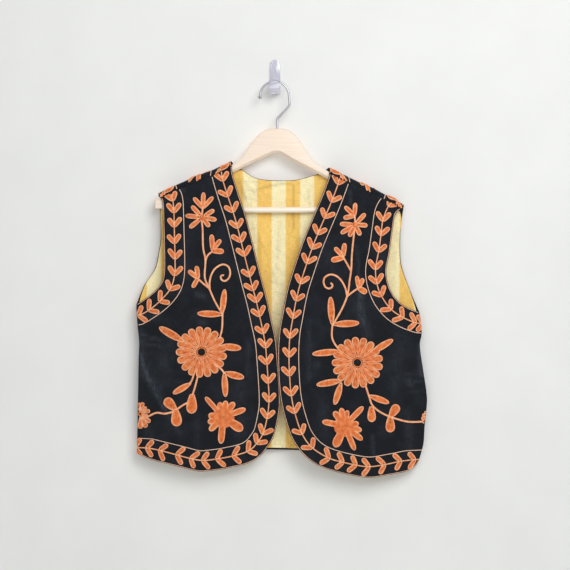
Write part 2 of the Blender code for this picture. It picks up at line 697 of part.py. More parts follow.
# ---------------------------------------------------------------- hanger and hooks
HANGER = {                  # outline (x, z)
    "top": [(-218.2, -233), (-216.8, -224), (-212, -219.8), (-178, -204.4), (-149, -191.0),
            (-112, -177.4), (-79.1, -161.0), (-64.8, -152), (-53.9, -137.6), (-41.6, -120.4),
            (-29.5, -105.9), (-15, -96.4), (4, -94.8), (19, -96.2), (31.1, -102.4),
            (43.3, -114.5), (55.4, -132.7), (67.3, -150.8), (79.6, -161.4), (96.3, -172),
            (134.3, -190.2), (178.6, -210.2), (212, -226.6), (222, -233), (226, -237.5)],
    "under": [(225, -242), (213.5, -243), (211, -248), (205, -251.5), (190, -251.5),
              (190, -235.5), (178, -228.5), (95.4, -186), (35, -154.5), (13, -141.5),
              (3.5, -138.5), (-6, -141), (-30, -152), (-74.4, -173.9), (-176, -226.8),
              (-184, -235.5), (-184, -251.5), (-197, -251.5), (-201, -247.5), (-203, -240.5),
              (-217.5, -241)],
}
WIRE_STEM = [(4.3, -94.4), (4.3, -79), (7.2, -73.6), (24.2, -55.2), (26.6, -50), (26.3, -43)]
WIRE_CENTRE, WIRE_BEND = (-0.5, -35.2), 26.2     # the wire's bend over the wall hook
WALL_HOOK = [(0, PLATE_TOP), (-PLATE_THICK, PLATE_TOP), (-PLATE_THICK, -6.5), (-5.5, -9.4), (-10, -10.2),
             (-20, -10.2), (-28, -9.8), (-30.4, -11.6), (-31.4, -15), (-31.4, -22),
             (-29, -28.5), (-23, -31.7), (-14, -31), (-6, -28.5), (0, -28.5)]   # (y, z)


def prism(name, loop, low, high, axis, material, home=None):
    """A flat outline given a thickness along Y (axis 1) or X (axis 0)."""
    flat, tris = fill([loop])
    rim = edges_once(tris)
    n = len(flat)
    if axis == 1:
        points = [Vector((p.x, low, p.y)) for p in flat] + [Vector((p.x, high, p.y)) for p in flat]
    else:
        points = [Vector((low, p.x, p.y)) for p in flat] + [Vector((high, p.x, p.y)) for p in flat]
    faces = list(tris) + [(a + n, c + n, b + n) for a, b, c in tris]
    faces += [(b, a, a + n, b + n) for a, b in rim]
    body = make(name, points, faces, material, turn=axis == 0)
    if home:
        COLLECTION.objects.unlink(body)
        home.objects.link(body)
        body.hide_render = True
        body.display_type = "WIRE"
    return body


def tube(name, path, radii, sides, material):
    """A round bar along a path of points, closed at both ends."""
    path = [Vector(p) for p in path]
    points, faces = [], []
    for i, p in enumerate(path):
        d = (path[min(i + 1, len(path) - 1)] - path[max(i - 1, 0)]).normalized()
        across = d.cross(Vector((0, 1, 0))).normalized()
        up = d.cross(across)
        points += [p + (across * math.cos(a) + up * math.sin(a)) * radii[i]
                   for a in [2 * math.pi * k / sides for k in range(sides)]]
    for i in range(len(path) - 1):
        for k in range(sides):
            a, b = i * sides + k, i * sides + (k + 1) % sides
            faces.append((a, b, b + sides, a + sides))
    faces.append(tuple(range(sides))[::-1])
    last = (len(path) - 1) * sides
    faces.append(tuple(range(last, last + sides)))
    return make(name, points, faces, material)


def hanger():
    wood = prism("hanger_wood", HANGER["top"] + HANGER["under"], HANGER_Y - ARM_THICK / 2,
                 HANGER_Y + ARM_THICK / 2, 1, "wood")
    round_off = wood.modifiers.new("worn_edges", "BEVEL")
    round_off.width = 0.0014
    round_off.segments = 1
    round_off.limit_method = "ANGLE"
    round_off.angle_limit = math.radians(70)
    tube("hanger_bar", [(-183.7, HANGER_Y, -242.4), (0, HANGER_Y, -242.4), (189.7, HANGER_Y, -242.4)],
         [BAR_RADIUS] * 3, 16, "wood")
    bend = [Vector(WIRE_CENTRE) + polar(a, WIRE_BEND) for a in range(0, 181, 12)]
    path = evened(curve(WIRE_STEM, 3), 6.5) + bend
    tip = path[-1] - path[-2]
    ball = [path[-1] + tip.normalized() * d for d in (1.2, 2.6, 4.0, 5.2)]
    radii = [WIRE_RADIUS] * len(path) + [2.8, 3.3, 2.8, 1.4]
    tube("hanger_wire", [(p.x, HANGER_Y, p.y) for p in path + ball], radii, 10, "wire")


def wall_hook():
    body = prism("wall_hook", WALL_HOOK, -LIP_WIDE / 2, LIP_WIDE / 2, 0, "clear")
    half = PLATE_WIDE / 2
    low = min(z for _, z in WALL_HOOK) - 0.05
    face = ([Vector((0, PLATE_TOP - half)) + polar(a, half + 0.05) for a in range(0, 181, 20)]
            + [Vector((math.cos(math.radians(a)) * (LIP_WIDE / 2 + 0.05),
                       low + LIP_HIGH / 2 * (1 + math.sin(math.radians(a)))))
               for a in range(160, 381, 20)])
    cutter = prism("wall_hook_outline", face, -40, 5, 1, "clear", CUTTERS)
    under = WIRE_BEND - WIRE_RADIUS - 0.3
    seat = [Vector(WIRE_CENTRE) + polar(a, under) for a in range(60, 121, 6)]
    seat += [Vector((-16, 0)), Vector((16, 0))]
    groove = prism("wire_groove", seat, HANGER_Y - 2.4, HANGER_Y + 2.4, 1, "clear", CUTTERS)
    for name, operation, tool in (("round_ends", "INTERSECT", cutter),
                                  ("wire_groove", "DIFFERENCE", groove)):
        cut = body.modifiers.new(name, "BOOLEAN")
        cut.operation = operation
        cut.solver = "EXACT"
        cut.object = tool


front_panel("right")
front_panel("left")
back_panel()
lining_panel()
for hand_name in ("right", "left"):
    front_vines(hand_name)
    spray(hand_name)
    small_flower(hand_name)
hanger()
wall_hook()
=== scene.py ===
"""Embroidered velvet vest on a wooden hanger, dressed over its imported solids.

Tables are in millimetres, in the part's own frame: +X to the viewer's right, +Y into the wall,
+Z up.  "right" and "left" are the wearer's.  Cloth is cut flat, then every point of it is lifted
on to the surface on which it hangs.  Stitching is laid out flat and lifted with its panel.
"""
import math

import bmesh
import bpy
import numpy as np
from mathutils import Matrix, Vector


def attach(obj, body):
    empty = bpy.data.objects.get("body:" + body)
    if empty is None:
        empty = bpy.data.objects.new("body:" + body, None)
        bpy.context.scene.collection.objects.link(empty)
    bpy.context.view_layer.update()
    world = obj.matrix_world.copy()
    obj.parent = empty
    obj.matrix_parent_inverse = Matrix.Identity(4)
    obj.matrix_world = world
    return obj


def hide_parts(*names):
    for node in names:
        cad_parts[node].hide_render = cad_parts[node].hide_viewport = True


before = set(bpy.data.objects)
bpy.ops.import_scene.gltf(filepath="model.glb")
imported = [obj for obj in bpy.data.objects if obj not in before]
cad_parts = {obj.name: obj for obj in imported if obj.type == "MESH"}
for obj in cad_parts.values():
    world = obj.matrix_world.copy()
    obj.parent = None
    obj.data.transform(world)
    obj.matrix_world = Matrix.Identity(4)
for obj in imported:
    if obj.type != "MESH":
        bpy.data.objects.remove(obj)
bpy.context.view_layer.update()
MM = 0.001

# ------------------------------------------------------------------ sizes, mm
HANGER_Y = -24.0          # middle plane of hanger, bar and wire
ROLL = 9.2                # radius of the back where it rolls over the hanger's arms
SEAM_DROP = 10.2          # shoulder seam below the ridge, on the front
SEAM_GAP = 0.3
WALL, LINING, LINING_GAP = 2.0, 1.0, 0.8     # the solids' walls, and between back and lining
VELVET, COTTON = 1.7, 0.7                # velvet and lining as they are shown
SIDE_SEAM, FACING_GAP = 0.05, 0.25       # from a layer to the side seam; from velvet to its lining
EDGE_STEP = 4.4           # between the points of a cut edge
FACING_IN = 4.5           # the fronts' linings end this far inside the velvet
CHEST_FRONT, CHEST_BACK = 17.0, 15.5     # how far each layer stands off the side seam
SIDE_SPREAD, SIDE_ROUND = 92.0, 2.2      # over this width from the side seam, and how roundly
SEAM_Y, HEM_BACK = -26.0, 2.0            # depth of the side seams, and how far back the hem falls
SEAM_TOP, SEAM_LONG = -420, 260          # height at which they begin, and how long they are
SHOULDER_TOP, SHOULDER_FADE = 12, 120    # below the ridge: cloth lies on the arms, then falls free
FOLD_CALM, CREASE_CALM = 24, 20          # folds and creases die out this near to a side seam
SHOULDER_CALM, UNEVEN = 0.7, 0.32        # less creased over the arms; height of the unevenness
MEET_X, MEET_WIDE, MEET_OUT = 9, 60, 3.2     # the left front stands out where the fronts meet
MEET_TOP, MEET_FADE = -380, 80
NECK_HALF = 60.0          # this near to the middle, the back ends at the neck, with no roll
ARMS_X, ARMS_Z, ARMS_SLOPE = 3.5, -139, 0.5  # the hanger's arms, seen from below
WRINKLED, CRUMPLED = 1.5, 0.4            # the back lining: share of its wrinkles and unevenness
SUNK, RAISED = -0.9, 2.4                 # the farthest that they take it back, and forward
LINING_IN = {"neck": 1.1, "arm": 1.3, "side": 5.0, "hem": 3.4}   # its edges inside the back's
LINING_UNDER = {"neck": 15, "arm": 14, "top": 13}    # and how far they stay below the ridge
LINING_TOP = {"right": (-88, -130, -175, -203), "left": (105, 150, 195, 222)}    # x of its top
CREST_X = {"right": (-79.2, -211.6), "left": (98.6, 234.4)}  # neck and armhole on the ridge
CELL, LINING_CELL = 4.6, 3.1             # size of the cloth's cells, and of the back lining's
STRIPE, CREAM_MIDDLE = 25.95, 7.0        # the lining's stripes: width, and where a cream one lies
VINE_IN = 20.0            # a border's vine runs this far in from the edge
PAIRS = {                  # feet of a border's pairs of leaves, along its stem from the shoulder
    "right": (21, 51, 82, 111, 137, 163, 202.5, 227.5, 250, 276, 307, 333, 364, 397.5, 431, 462,
              492, 512, 534.5, 562, 591, 618.5, 639.5, 664.5, 697, 720.5, 743),
    "left": (17, 50, 83, 113.5, 142, 171, 207.5, 240, 272.5, 309, 342.5, 376, 412, 444, 484.5,
             517.5, 553, 578.5, 603.5, 627.5, 655.5, 685, 710),
    "right armhole": (11.5, 34, 59.5, 90.5, 118.5, 148, 176, 202.5, 228.5, 252),
    "left armhole": (15.5, 47, 72.5, 101.5, 134, 160, 184, 215, 241, 266.5, 281),
}
BACK_PAIR_STEP = 28.0     # from pair to pair on the back
ARM_BORDER_OUT = 12.0     # how far the back's armhole borders draw outwards at the shoulders
LEAF_LONG, LEAF_WIDE = 19.5, 9.2
LEAF_TURN, LEVEL_TURN = 36.0, 15.0       # leaf from the stem, and more where that runs level
LEAF_FOOT, LEAF_WOBBLE = 2.4, 4.0        # leaves start past their pair's place; uneven turns
# the pair next to a shoulder seam: its leaves' angle from the stem and their length
FRONT_ARM_PAIR, BACK_ARM_PAIR, BACK_NECK_PAIR = (34, 18), (55, 19.5), (60, 19.5)
BACK_ARM_FOOT, BACK_NECK_FOOT = 13.0, 17.0   # its foot on the back, past the seam
ROW_OUTER, ROW_INNER = 1.4, 37.5         # plain rows along a border, in from the edge
STITCH, ROW_WIDE, STRAND = 3.4, 2.3, 0.66    # chain stitch: length, row spacing, thread radius
LINK_SHUT, LINK_OPEN = 0.34, 0.22        # strand from its row's middle; farther in an open link
THREAD_UP, LINK_UP = 0.12, 0.28          # strand off the cloth; higher in an open link
TOP_FOOT, TOP_PETAL, TOP_MIDDLE = 4.4, 8.8, 5.6  # small top flowers: petals' feet, width, middle
BIG_PETALS, BIG_IN, BIG_OUT, BIG_HALF = 17, 9.4, 46.5, 6.9   # big flowers' petals
BIG_EYE, SIDE_EYE = 7.8, 3.0             # rings round the middles of big and side flowers
SMALL_BODY, SMALL_MIDDLE = 21.0, 16.0    # armed flowers: body below the arms, middle above them
SIDE_IN, SIDE_HALF = 2.4, 4.4            # side flowers' petals: where they begin, half width
SPRIG_BLOOM = 20                         # a back sprig's flower, below its top leaves
SPRIG_LEAVES, SPRIG_LONG = 62, 84        # its side leaves and its stem's end, below the flower
SPRIG_LEAF = (36, 11)                    # its pointed leaves: length, width

# ------------------------------------------------------------------ outlines (x, z)
RIDGE = {
    "right": [(-60, -145), (-79, -154.4), (-112, -170.1), (-124.5, -174.7), (-149, -183.7),
              (-164, -191.1), (-178, -197.1), (-212, -212.9), (-222, -218)],
    "left": [(80, -157), (97, -165.3), (134, -183.4), (151, -191.7), (179, -203.4),
             (199, -214.5), (217, -222.1), (234.6, -234.6), (244, -241)],
}
SIDE = {
    "right": [(-251.6, -414.5), (-249.4, -449.8), (-246.2, -482.4), (-247.2, -516.8),
              (-248.3, -581.9), (-249.4, -636.2), (-250.5, -684.9)],
    "left": [(262.5, -428.5), (266.6, -465.5), (263.2, -489.6), (269.9, -537.9), (276.4, -586.2),
             (272, -636.6), (270.5, -664), (265.8, -684), (260, -701.5)],
}
FRONT_EDGE = {
    "right": [(-77.6, -165.0), (-76.2, -178.3), (-64.3, -217.2), (-52.5, -252.5), (-38.9, -305.5),
              (-25.2, -360.6), (-13.4, -405.6), (-5.4, -442.5), (2.2, -478.7), (5.6, -516.8),
              (8.6, -560.2), (9.6, -592.8), (6.6, -618), (-1.6, -652), (-12.7, -671.5),
              (-28.1, -689.2), (-50, -701.4), (-82.9, -709), (-104.8, -712.8), (-131, -715.5),
              (-148.6, -713.4), (-170.5, -707.8), (-192.4, -702.5), (-225.3, -694.8)],
    "left": [(98.6, -176.5), (98.3, -181.9), (85.4, -217.2), (68.8, -256.5), (50.1, -301.5),
             (34.6, -346.8), (22.6, -386.1), (12.9, -435.1), (7.8, -465), (5.6, -505),
             (7.8, -560.2), (13.2, -599.3), (24.3, -638.7), (35.1, -663.2), (52.7, -685.9),
             (74.6, -702.5), (101, -713.3), (133.9, -721.6), (171.2, -726.5), (213, -721),
             (239.3, -716.2)],
}
HEM_CORNER = {             # where a front's hem turns up to meet the side seam
    "right": [(-250.5, -684.9)],
    "left": [(252.5, -710), (260, -701.5)],
}
ARMHOLE = {                # front panels, from the shoulder seam down to the side seam
    "right": [(-207.4, -221.2), (-203.6, -229), (-201.6, -272.4), (-199.8, -330.3),
              (-200.7, -361.1), (-206.5, -377.4), (-223.4, -395.5), (-251.6, -414.5)],
    "left": [(229.5, -241.2), (218.6, -250.7), (213, -282), (207.2, -321.3), (201.3, -356.6),
             (209.1, -388.2), (224.8, -409.5), (243, -421), (262.5, -428.5)],
}
BACK_ARMHOLE = {           # back panel, from the side seam up to the shoulder's roll
    "right": [(-251.6, -414.5), (-236.9, -378), (-219.4, -350.8), (-212.5, -321.3),
              (-208.5, -291.8), (-209.6, -244.7), (-211.6, -222)],
    "left": [(262.5, -428.5), (247.5, -392), (233.8, -353.8), (229.4, -331), (228.9, -291),
             (231.8, -256), (234.2, -243)],
}
BACK_NECK = [(-73, -161.5), (-61.2, -167.8), (-53.9, -172.9), (-34.4, -183.8), (-5.1, -187.9),
             (31.1, -187.9), (49.2, -184.8), (75.7, -177.2), (90, -171.5)]
BACK_HEM = [(-250.5, -684.9), (-180, -682), (-90, -680), (11, -680), (100, -684.5),
            (190, -692), (260, -701.5)]

# the solids' soft folds by panel: both ends (x, z), half width, how far it stands forward
FOLDS = {
    "right": [
        ((-250, -484), (-205, -480), 15, -2.0), ((-205, -500), (-212, -640), 25, 2.2),
        ((-170, -400), (-196, -520), 22, -1.6), ((-60, -440), (-95, -690), 32, 2.2),
        ((-30, -300), (-80, -230), 22, -1.4)],
    "left": [
        ((266, -490), (222, -503), 16, -2.2), ((167, -395), (172, -470), 22, 1.8),
        ((166, -570), (171, -726), 28, 2.4), ((250, -505), (246, -600), 24, 2.0),
        ((80, -430), (75, -700), 34, 2.2), ((212, -380), (190, -480), 22, -1.6)],
    "back": [
        ((-150, -250), (-120, -660), 34, -2.4), ((150, -260), (140, -670), 34, -2.4),
        ((-60, -190), (-20, -330), 24, 1.8), ((80, -190), (30, -330), 24, 1.8),
        ((5, -380), (0, -680), 38, 2.6)],
}
# finer creases, laid on top of them: same columns
CREASES = {
    "right": [
        ((-244, -500), (-229, -546), 5, 1.2), ((-229, -546), (-197, -611), 6, 1.1),
        ((-197, -611), (-178, -650), 7, 0.8), ((-246, -486), (-208, -483), 4, -1.1),
        ((-240, -468), (-222, -477), 4, 0.8), ((-238, -520), (-200, -528), 6, 0.5),
        ((-48, -468), (-50, -532), 6, 0.8), ((-140, -614), (-138, -668), 8, 0.9),
        ((-148, -392), (-118, -399), 6, 0.9), ((-141, -402), (-124, -388), 4, -0.8),
        ((-142, -440), (-122, -450), 6, 0.7), ((-150, -230), (-152, -330), 7, 0.7),
        ((-100, -250), (-88, -300), 7, -0.6), ((-180, -212), (-165, -240), 7, 0.8),
        ((-226, -430), (-190, -452), 8, -0.7), ((-30, -560), (-38, -640), 8, -0.7)],
    "left": [
        ((154, -325), (152, -378), 5, 0.9), ((158, -390), (160, -462), 6, 1.3),
        ((146, -392), (150, -460), 5, -0.7), ((176, -645), (177, -690), 5, 1.2),
        ((67, -465), (66, -575), 8, 0.9), ((261, -488), (266, -545), 6, 1.2),
        ((240, -548), (256, -560), 6, 0.8), ((262, -500), (226, -520), 5, -0.9),
        ((84, -512), (72, -530), 7, 0.7), ((136, -200), (137, -240), 6, 0.8),
        ((200, -440), (222, -470), 8, 0.6), ((92, -560), (96, -640), 9, -0.6),
        ((230, -600), (236, -680), 9, 0.7), ((190, -250), (172, -300), 9, -0.6)],
    "back": [
        ((-236, -470), (-190, -478), 6, -1.0), ((250, -500), (205, -492), 6, -1.0),
        ((-200, -380), (-150, -470), 9, 0.9), ((215, -400), (160, -480), 9, 0.8),
        ((-70, -250), (-84, -420), 9, 0.8), ((90, -270), (96, -450), 9, -0.8),
        ((-30, -450), (-36, -640), 10, -0.9), ((50, -430), (62, -650), 10, 0.9),
        ((190, -560), (198, -680), 9, 0.8), ((-205, -540), (-196, -670), 9, -0.8)],
}
# wrinkles in the lining: ends, half width, height towards the viewer
WRINKLES = [
    ((-66, -176), (-30, -214), 3.0, 1.2), ((-68, -182), (-44, -236), 2.6, 1.1),
    ((-62, -172), (-14, -196), 2.6, 0.9), ((-70, -190), (-56, -262), 3.0, -1.0),
    ((-34, -205), (-6, -193), 2.4, 1.0), ((-6, -193), (34, -190), 2.2, 0.8),
    ((-8, -199), (10, -201), 2.4, -0.7), ((33, -200), (33, -262), 2.8, -1.1),
    ((78, -182), (56, -214), 3.0, 1.1), ((82, -188), (62, -240), 2.6, -0.9),
    ((70, -178), (44, -192), 2.4, 0.8), ((-30, -256), (-22, -330), 3.6, 0.9),
    ((-14, -300), (-20, -380), 4.0, -0.9), ((14, -262), (10, -345), 4.0, 0.8),
    ((30, -300), (22, -370), 3.5, 0.9), ((-20, -210), (12, -222), 3.0, 0.5),
    ((-12, -236), (20, -232), 4.0, -0.5), ((2, -345), (-10, -420), 4.0, 0.9),
    ((18, -360), (6, -430), 3.5, -0.8), ((-24, -350), (4, -358), 2.5, 0.7),
    ((12, -640), (36, -662), 3.0, 1.0), ((-14, -652), (20, -676), 3.5, -0.9),
    ((-222, -372), (-236, -402), 3.0, 1.0), ((-210, -262), (-204, -340), 4.0, -0.9),
    ((228, -270), (222, -345), 4.0, 0.9), ((236, -372), (252, -408), 3.0, 1.0),
    ((222, -300), (230, -330), 3.0, -0.8),
]


# ------------------------------------------------------------------ small maths
def at(points, x):
    """Second column of a table at x, straight between its rows."""
    rows = sorted(points)
    return np.interp(x, [r[0] for r in rows], [r[1] for r in rows])


def ease(t):
    """Smooth step from 0 to 1."""
    t = np.clip(t, 0.0, 1.0)
    return t * t * (3 - 2 * t)


def curve(points, step, closed=False):
    """Catmull-Rom through the points, sampled about every step."""
    p = np.asarray(points, float)
    n = len(p)
    out = []
    for i in range(n if closed else n - 1):
        a, b, c, d = (p[(i + k) % n] if closed else p[min(n - 1, max(0, i + k))]
                      for k in (-1, 0, 1, 2))
        parts = max(1, round(float(np.linalg.norm(c - b)) / step))
        t = (np.arange(parts) / parts)[:, None]
        out.append(0.5 * (2 * b + (c - a) * t + (2 * a - 5 * b + 4 * c - d) * t * t
                          + (3 * b - a - 3 * c + d) * t ** 3))
    if not closed:
        out.append(p[-1:])
    return np.concatenate(out)


def length_of(path, closed=False):
    path = np.concatenate([path, path[:1]]) if closed else path
    return float(np.linalg.norm(np.diff(path, axis=0), axis=1).sum())


def evened(path, step=None, closed=False, count=None):
    """The same path with its points an even step apart, or with a count of even steps."""
    path = np.asarray(path, float)
    if closed:
        path = np.concatenate([path, path[:1]])
    run = np.concatenate([[0], np.cumsum(np.linalg.norm(np.diff(path, axis=0), axis=1))])
    count = count or max(3 if closed else 1, round(run[-1] / step))
    s = np.linspace(0, run[-1], count + 1)[:count if closed else None]
    return np.stack([np.interp(s, run, path[:, k]) for k in (0, 1)], 1)


def directions(path, closed=False):
    """Unit tangents and the unit normals to their left."""
    if closed:
        d = np.roll(path, -1, 0) - np.roll(path, 1, 0)
    else:
        d = np.gradient(path, axis=0)
    d /= np.maximum(1e-9, np.linalg.norm(d, axis=1))[:, None]
    return d, np.stack([-d[:, 1], d[:, 0]], 1)


def offset(path, d):
    """A path moved sideways by d, with the loops that a tight bend makes cut out."""
    moved = path + directions(path)[1] * d
    gap = np.linalg.norm(moved[:, None] - path[None], axis=2).min(1)
    return moved[gap > abs(d) * 0.97]


def from_segment(x, z, a, b):
    """Distance to the straight line from a to b."""
    dx, dz = b[0] - a[0], b[1] - a[1]
    t = np.clip(((x - a[0]) * dx + (z - a[1]) * dz) / (dx * dx + dz * dz), 0, 1)
    return np.hypot(x - a[0] - t * dx, z - a[1] - t * dz)


def relief(table, x, z):
    """Height of a table's soft ridges: both ends, half width, height."""
    return sum(h * np.exp(-(from_segment(x, z, a, b) / w) ** 2) for a, b, w, h in table)


def ripple(x, z, seed):
    """A faint unevenness, as of cloth that was folded and worn."""
    out = np.zeros_like(x)
    for k in range(7):
        a = 1.3 * k + seed
        size = 38.0 - 3.6 * k
        out += np.sin((x * math.cos(a) + z * math.sin(a) * 0.55) * 2 * math.pi / size
                      + 1.7 * np.sin(z / 61 + k + seed)) / (k + 3)
    return out


# ------------------------------------------------------------------ where the cloth hangs
def side_x(hand, z):
    """Where a side seam lies at this height."""
    return at([(row[1], row[0]) for row in SIDE[hand]], z)


def from_seam(x, z):
    """Distance inwards from the nearer side seam."""
    return np.minimum(x - side_x("right", z), side_x("left", z) - x)


def stand_off(x, z):
    """How far a layer has come off the side seams: 0 at a seam, 1 over the chest."""
    return 1 - (1 - np.clip(from_seam(x, z) / SIDE_SPREAD, 0, 1)) ** SIDE_ROUND


def seam_y(z):
    return SEAM_Y + HEM_BACK * ease((SEAM_TOP - z) / SEAM_LONG)


def ridge(x):
    """Height of the shoulders' ridge, where the cloth lies over the arms."""
    return np.where(x < 8, at(RIDGE["right"], x), at(RIDGE["left"], x))


def near_shoulder(x, z):
    return ease(1 - (ridge(x) - SHOULDER_TOP - z) / SHOULDER_FADE)


def fine(panel, x, z):
    """The listed creases and the faint unevenness, quiet at the seams and over the hanger."""
    seed = {"right": 0.4, "left": 2.1, "back": 4.4}[panel]
    calm = ease(from_seam(x, z) / CREASE_CALM) * (1 - SHOULDER_CALM * near_shoulder(x, z))
    return calm * (relief(CREASES[panel], x, z) + UNEVEN * ripple(x, z, seed))


def front_y(hand, x, z):
    """Depth of a front's middle layer."""
    base = seam_y(z) - VELVET / 2 - SIDE_SEAM
    y = base - CHEST_FRONT * stand_off(x, z)
    y = y - ease(from_seam(x, z) / FOLD_CALM) * relief(FOLDS[hand], x, z)
    if hand == "left":
        across = ease(1 - np.abs(x - MEET_X) / MEET_WIDE)
        y = y - MEET_OUT * across * ease((MEET_TOP - z) / MEET_FADE)
    y = y + (HANGER_Y - ROLL - y) * near_shoulder(x, z)
    return y - fine(hand, x, z)


def back_y(x, z):
    """Depth of the back's middle layer, below its roll over the shoulders."""
    base = seam_y(z) + VELVET / 2 + SIDE_SEAM
    y = base + CHEST_BACK * stand_off(x, z)
    y = y - ease(from_seam(x, z) / FOLD_CALM) * relief(FOLDS["back"], x, z)
    y = y + (HANGER_Y + ROLL - y) * near_shoulder(x, z)
    return y - fine("back", x, z)


def lift_front(hand):
    return lambda p: np.stack([p[:, 0], front_y(hand, p[:, 0], p[:, 1]), p[:, 1]], 1)


def lift_back(p):
    """The back, whose second measure runs on over the shoulder's roll."""
    x, t = p[:, 0], p[:, 1]
    start = ridge(x) - ROLL
    at_neck = np.abs(x) < NECK_HALF
    angle = np.where(at_neck, -1.0, (t - start) / ROLL)
    over = np.clip(angle, 0, math.pi)
    y = np.where(angle <= 0, back_y(x, np.minimum(t, start)), HANGER_Y + ROLL * np.cos(over))
    y = np.where(at_neck, back_y(x, t), y)
    z = np.where(angle <= 0, t, start + ROLL * np.sin(over))
    z = np.where(angle > math.pi, start - (angle - math.pi) * ROLL, z)
    return np.stack([x, y, z], 1)


def lift_lining(p):
    """The back's lining: it hangs inside the back and is looser than that."""
    x, z = p[:, 0], p[:, 1]
    away = WALL / 2 + LINING_GAP + LINING / 2
    loose = np.clip(WRINKLED * relief(WRINKLES, x, z)
                    + CRUMPLED * ripple(x * 1.7, z * 1.5, 3.0), SUNK, RAISED)
    below_arms = ease((ARMS_Z - ARMS_SLOPE * np.abs(x - ARMS_X) - z) / 9)
    loose = np.where(loose > 0, loose * below_arms, loose)     # no wrinkle reaches the arms
    return np.stack([x, back_y(x, z) - away - loose * ease(from_seam(x, z) / 16), z], 1)


def lift_facing(hand):
    """The lining inside a front."""
    def lift(p):
        x, z = p[:, 0], p[:, 1]
        return np.stack([x, front_y(hand, x, z) + VELVET / 2 + FACING_GAP + COTTON / 2
                         + 0.12 * ripple(x * 2, z * 1.6, 5.0), z], 1)
    return lift


def surface_normal(lift, p):
    """Unit normals of a lifted surface, towards the viewer on a front."""
    e = 1.2
    dx = lift(p + (e, 0)) - lift(p - (e, 0))
    dz = lift(p + (0, e)) - lift(p - (0, e))
    n = np.cross(dx, dz)
    return n / np.linalg.norm(n, axis=1)[:, None]


# ------------------------------------------------------------------ outlines of the cut pieces
def seam_xs(hand):
    """Places along a shoulder seam, from the neck outwards."""
    neck, tip = FRONT_EDGE[hand][0][0], ARMHOLE[hand][0][0]
    return np.linspace(neck, tip, 25)


def front_outline(hand):
    xs = seam_xs(hand)
    top = np.stack([xs, ridge(xs) - SEAM_DROP - 0.6 * SEAM_GAP], 1)
    edge = curve([tuple(top[0])] + FRONT_EDGE[hand][1:] + HEM_CORNER[hand], 4)
    arm = curve([tuple(top[-1])] + ARMHOLE[hand][1:], 4)
    side = curve(SIDE[hand], 4)
    edge, arm, side = (evened(line, EDGE_STEP) for line in (edge, arm, side))
    return np.concatenate([top[1:-1], arm[:-1], side[1:-1], edge[::-1]])


def back_outline():
    """The back's outline, with its neck, left armhole and right armhole as paths of their own."""
    over = math.pi * ROLL + SEAM_DROP - 2 * ROLL - 0.6 * SEAM_GAP
    crest = math.pi * ROLL / 2 - ROLL
    ends = {}
    for hand, (mid, tip) in CREST_X.items():
        xs = seam_xs(hand)
        ends[hand] = ([(mid, float(ridge(mid)) + crest), (xs[0], float(ridge(xs[0])) + over)],
                      np.stack([xs, ridge(xs) + over], 1)[1:-1],
                      [(xs[-1], float(ridge(xs[-1])) + over), (tip, float(ridge(tip)) + crest)])
    neck = ends["right"][0][::-1] + BACK_NECK + ends["left"][0]
    parts = [evened(curve(neck, 3), 4), ends["left"][1]]
    down = curve(ends["left"][2] + BACK_ARMHOLE["left"][::-1], 3)
    parts += [evened(down, 4)[:-1], evened(curve(SIDE["left"], 3), EDGE_STEP)[:-1],
              evened(curve(BACK_HEM[::-1], 3), EDGE_STEP)[:-1],
              evened(curve(SIDE["right"][::-1], 3), EDGE_STEP)[:-1]]
    up = curve(BACK_ARMHOLE["right"] + ends["right"][2][::-1], 3)
    parts += [evened(up, 4), ends["right"][1][::-1]]
    return np.concatenate(parts), evened(curve(neck, 3), 4), evened(down, 4), evened(up, 4)


def lining_outline():
    """The back lining's outline, a little inside the back's; it ends below the shoulders' roll."""
    neck = [(x, min(z, float(ridge(x)) - LINING_UNDER["neck"]) - LINING_IN["neck"])
            for x, z in BACK_NECK[1:-1]]
    parts = [evened(curve(neck, 4), EDGE_STEP)]
    for hand, way in (("left", 1), ("right", -1)):
        arm = [(x - way * LINING_IN["arm"], min(z, float(ridge(x)) - LINING_UNDER["arm"]))
               for x, z in BACK_ARMHOLE[hand][1:-1]]
        side = [(x - way * LINING_IN["side"], z) for x, z in SIDE[hand][:-1]]
        top = [(x, float(ridge(x)) - LINING_UNDER["top"]) for x in LINING_TOP[hand]]
        column = evened(curve(top + arm[::-1] + side, 4), EDGE_STEP)
        parts.append(column if way > 0 else column[::-1])
        if way > 0:
            hem = [(x, z + LINING_IN["hem"]) for x, z in BACK_HEM[::-1]]
            hem[0] = (hem[0][0] - 6, hem[0][1])
            hem[-1] = (hem[-1][0] + 6, hem[-1][1])
            parts.append(evened(curve(hem, 4), EDGE_STEP))
    return np.concatenate(parts)


# ------------------------------------------------------------------ colours and nodes
def colour(code):
    """sRGB hex to the linear colour a socket takes."""
    parts = [int(code[i:i + 2], 16) / 255 for i in (1, 3, 5)]
    return (*[c / 12.92 if c <= 0.04045 else ((c + 0.055) / 1.055) ** 2.4 for c in parts], 1.0)


def put(tree, kind, feeds=(), out=0, **settings):
    """Add a node with its settings, and return one of its outputs; feeds gives each input a value
    or another node's output."""
    made = tree.nodes.new("ShaderNode" + kind)
    for key, value in settings.items():
        setattr(made, key, value)
    for key, value in dict(feeds).items():
        if isinstance(value, bpy.types.NodeSocket):
            tree.links.new(value, made.inputs[key])
        else:
            made.inputs[key].default_value = value
    return made.outputs[out]


def per(*sizes):
    """Scale of a pattern with features of that size in mm, or of those sizes along the axes."""
    scales = tuple(1 / (size * MM) for size in sizes)
    return scales if len(scales) > 1 else scales[0]


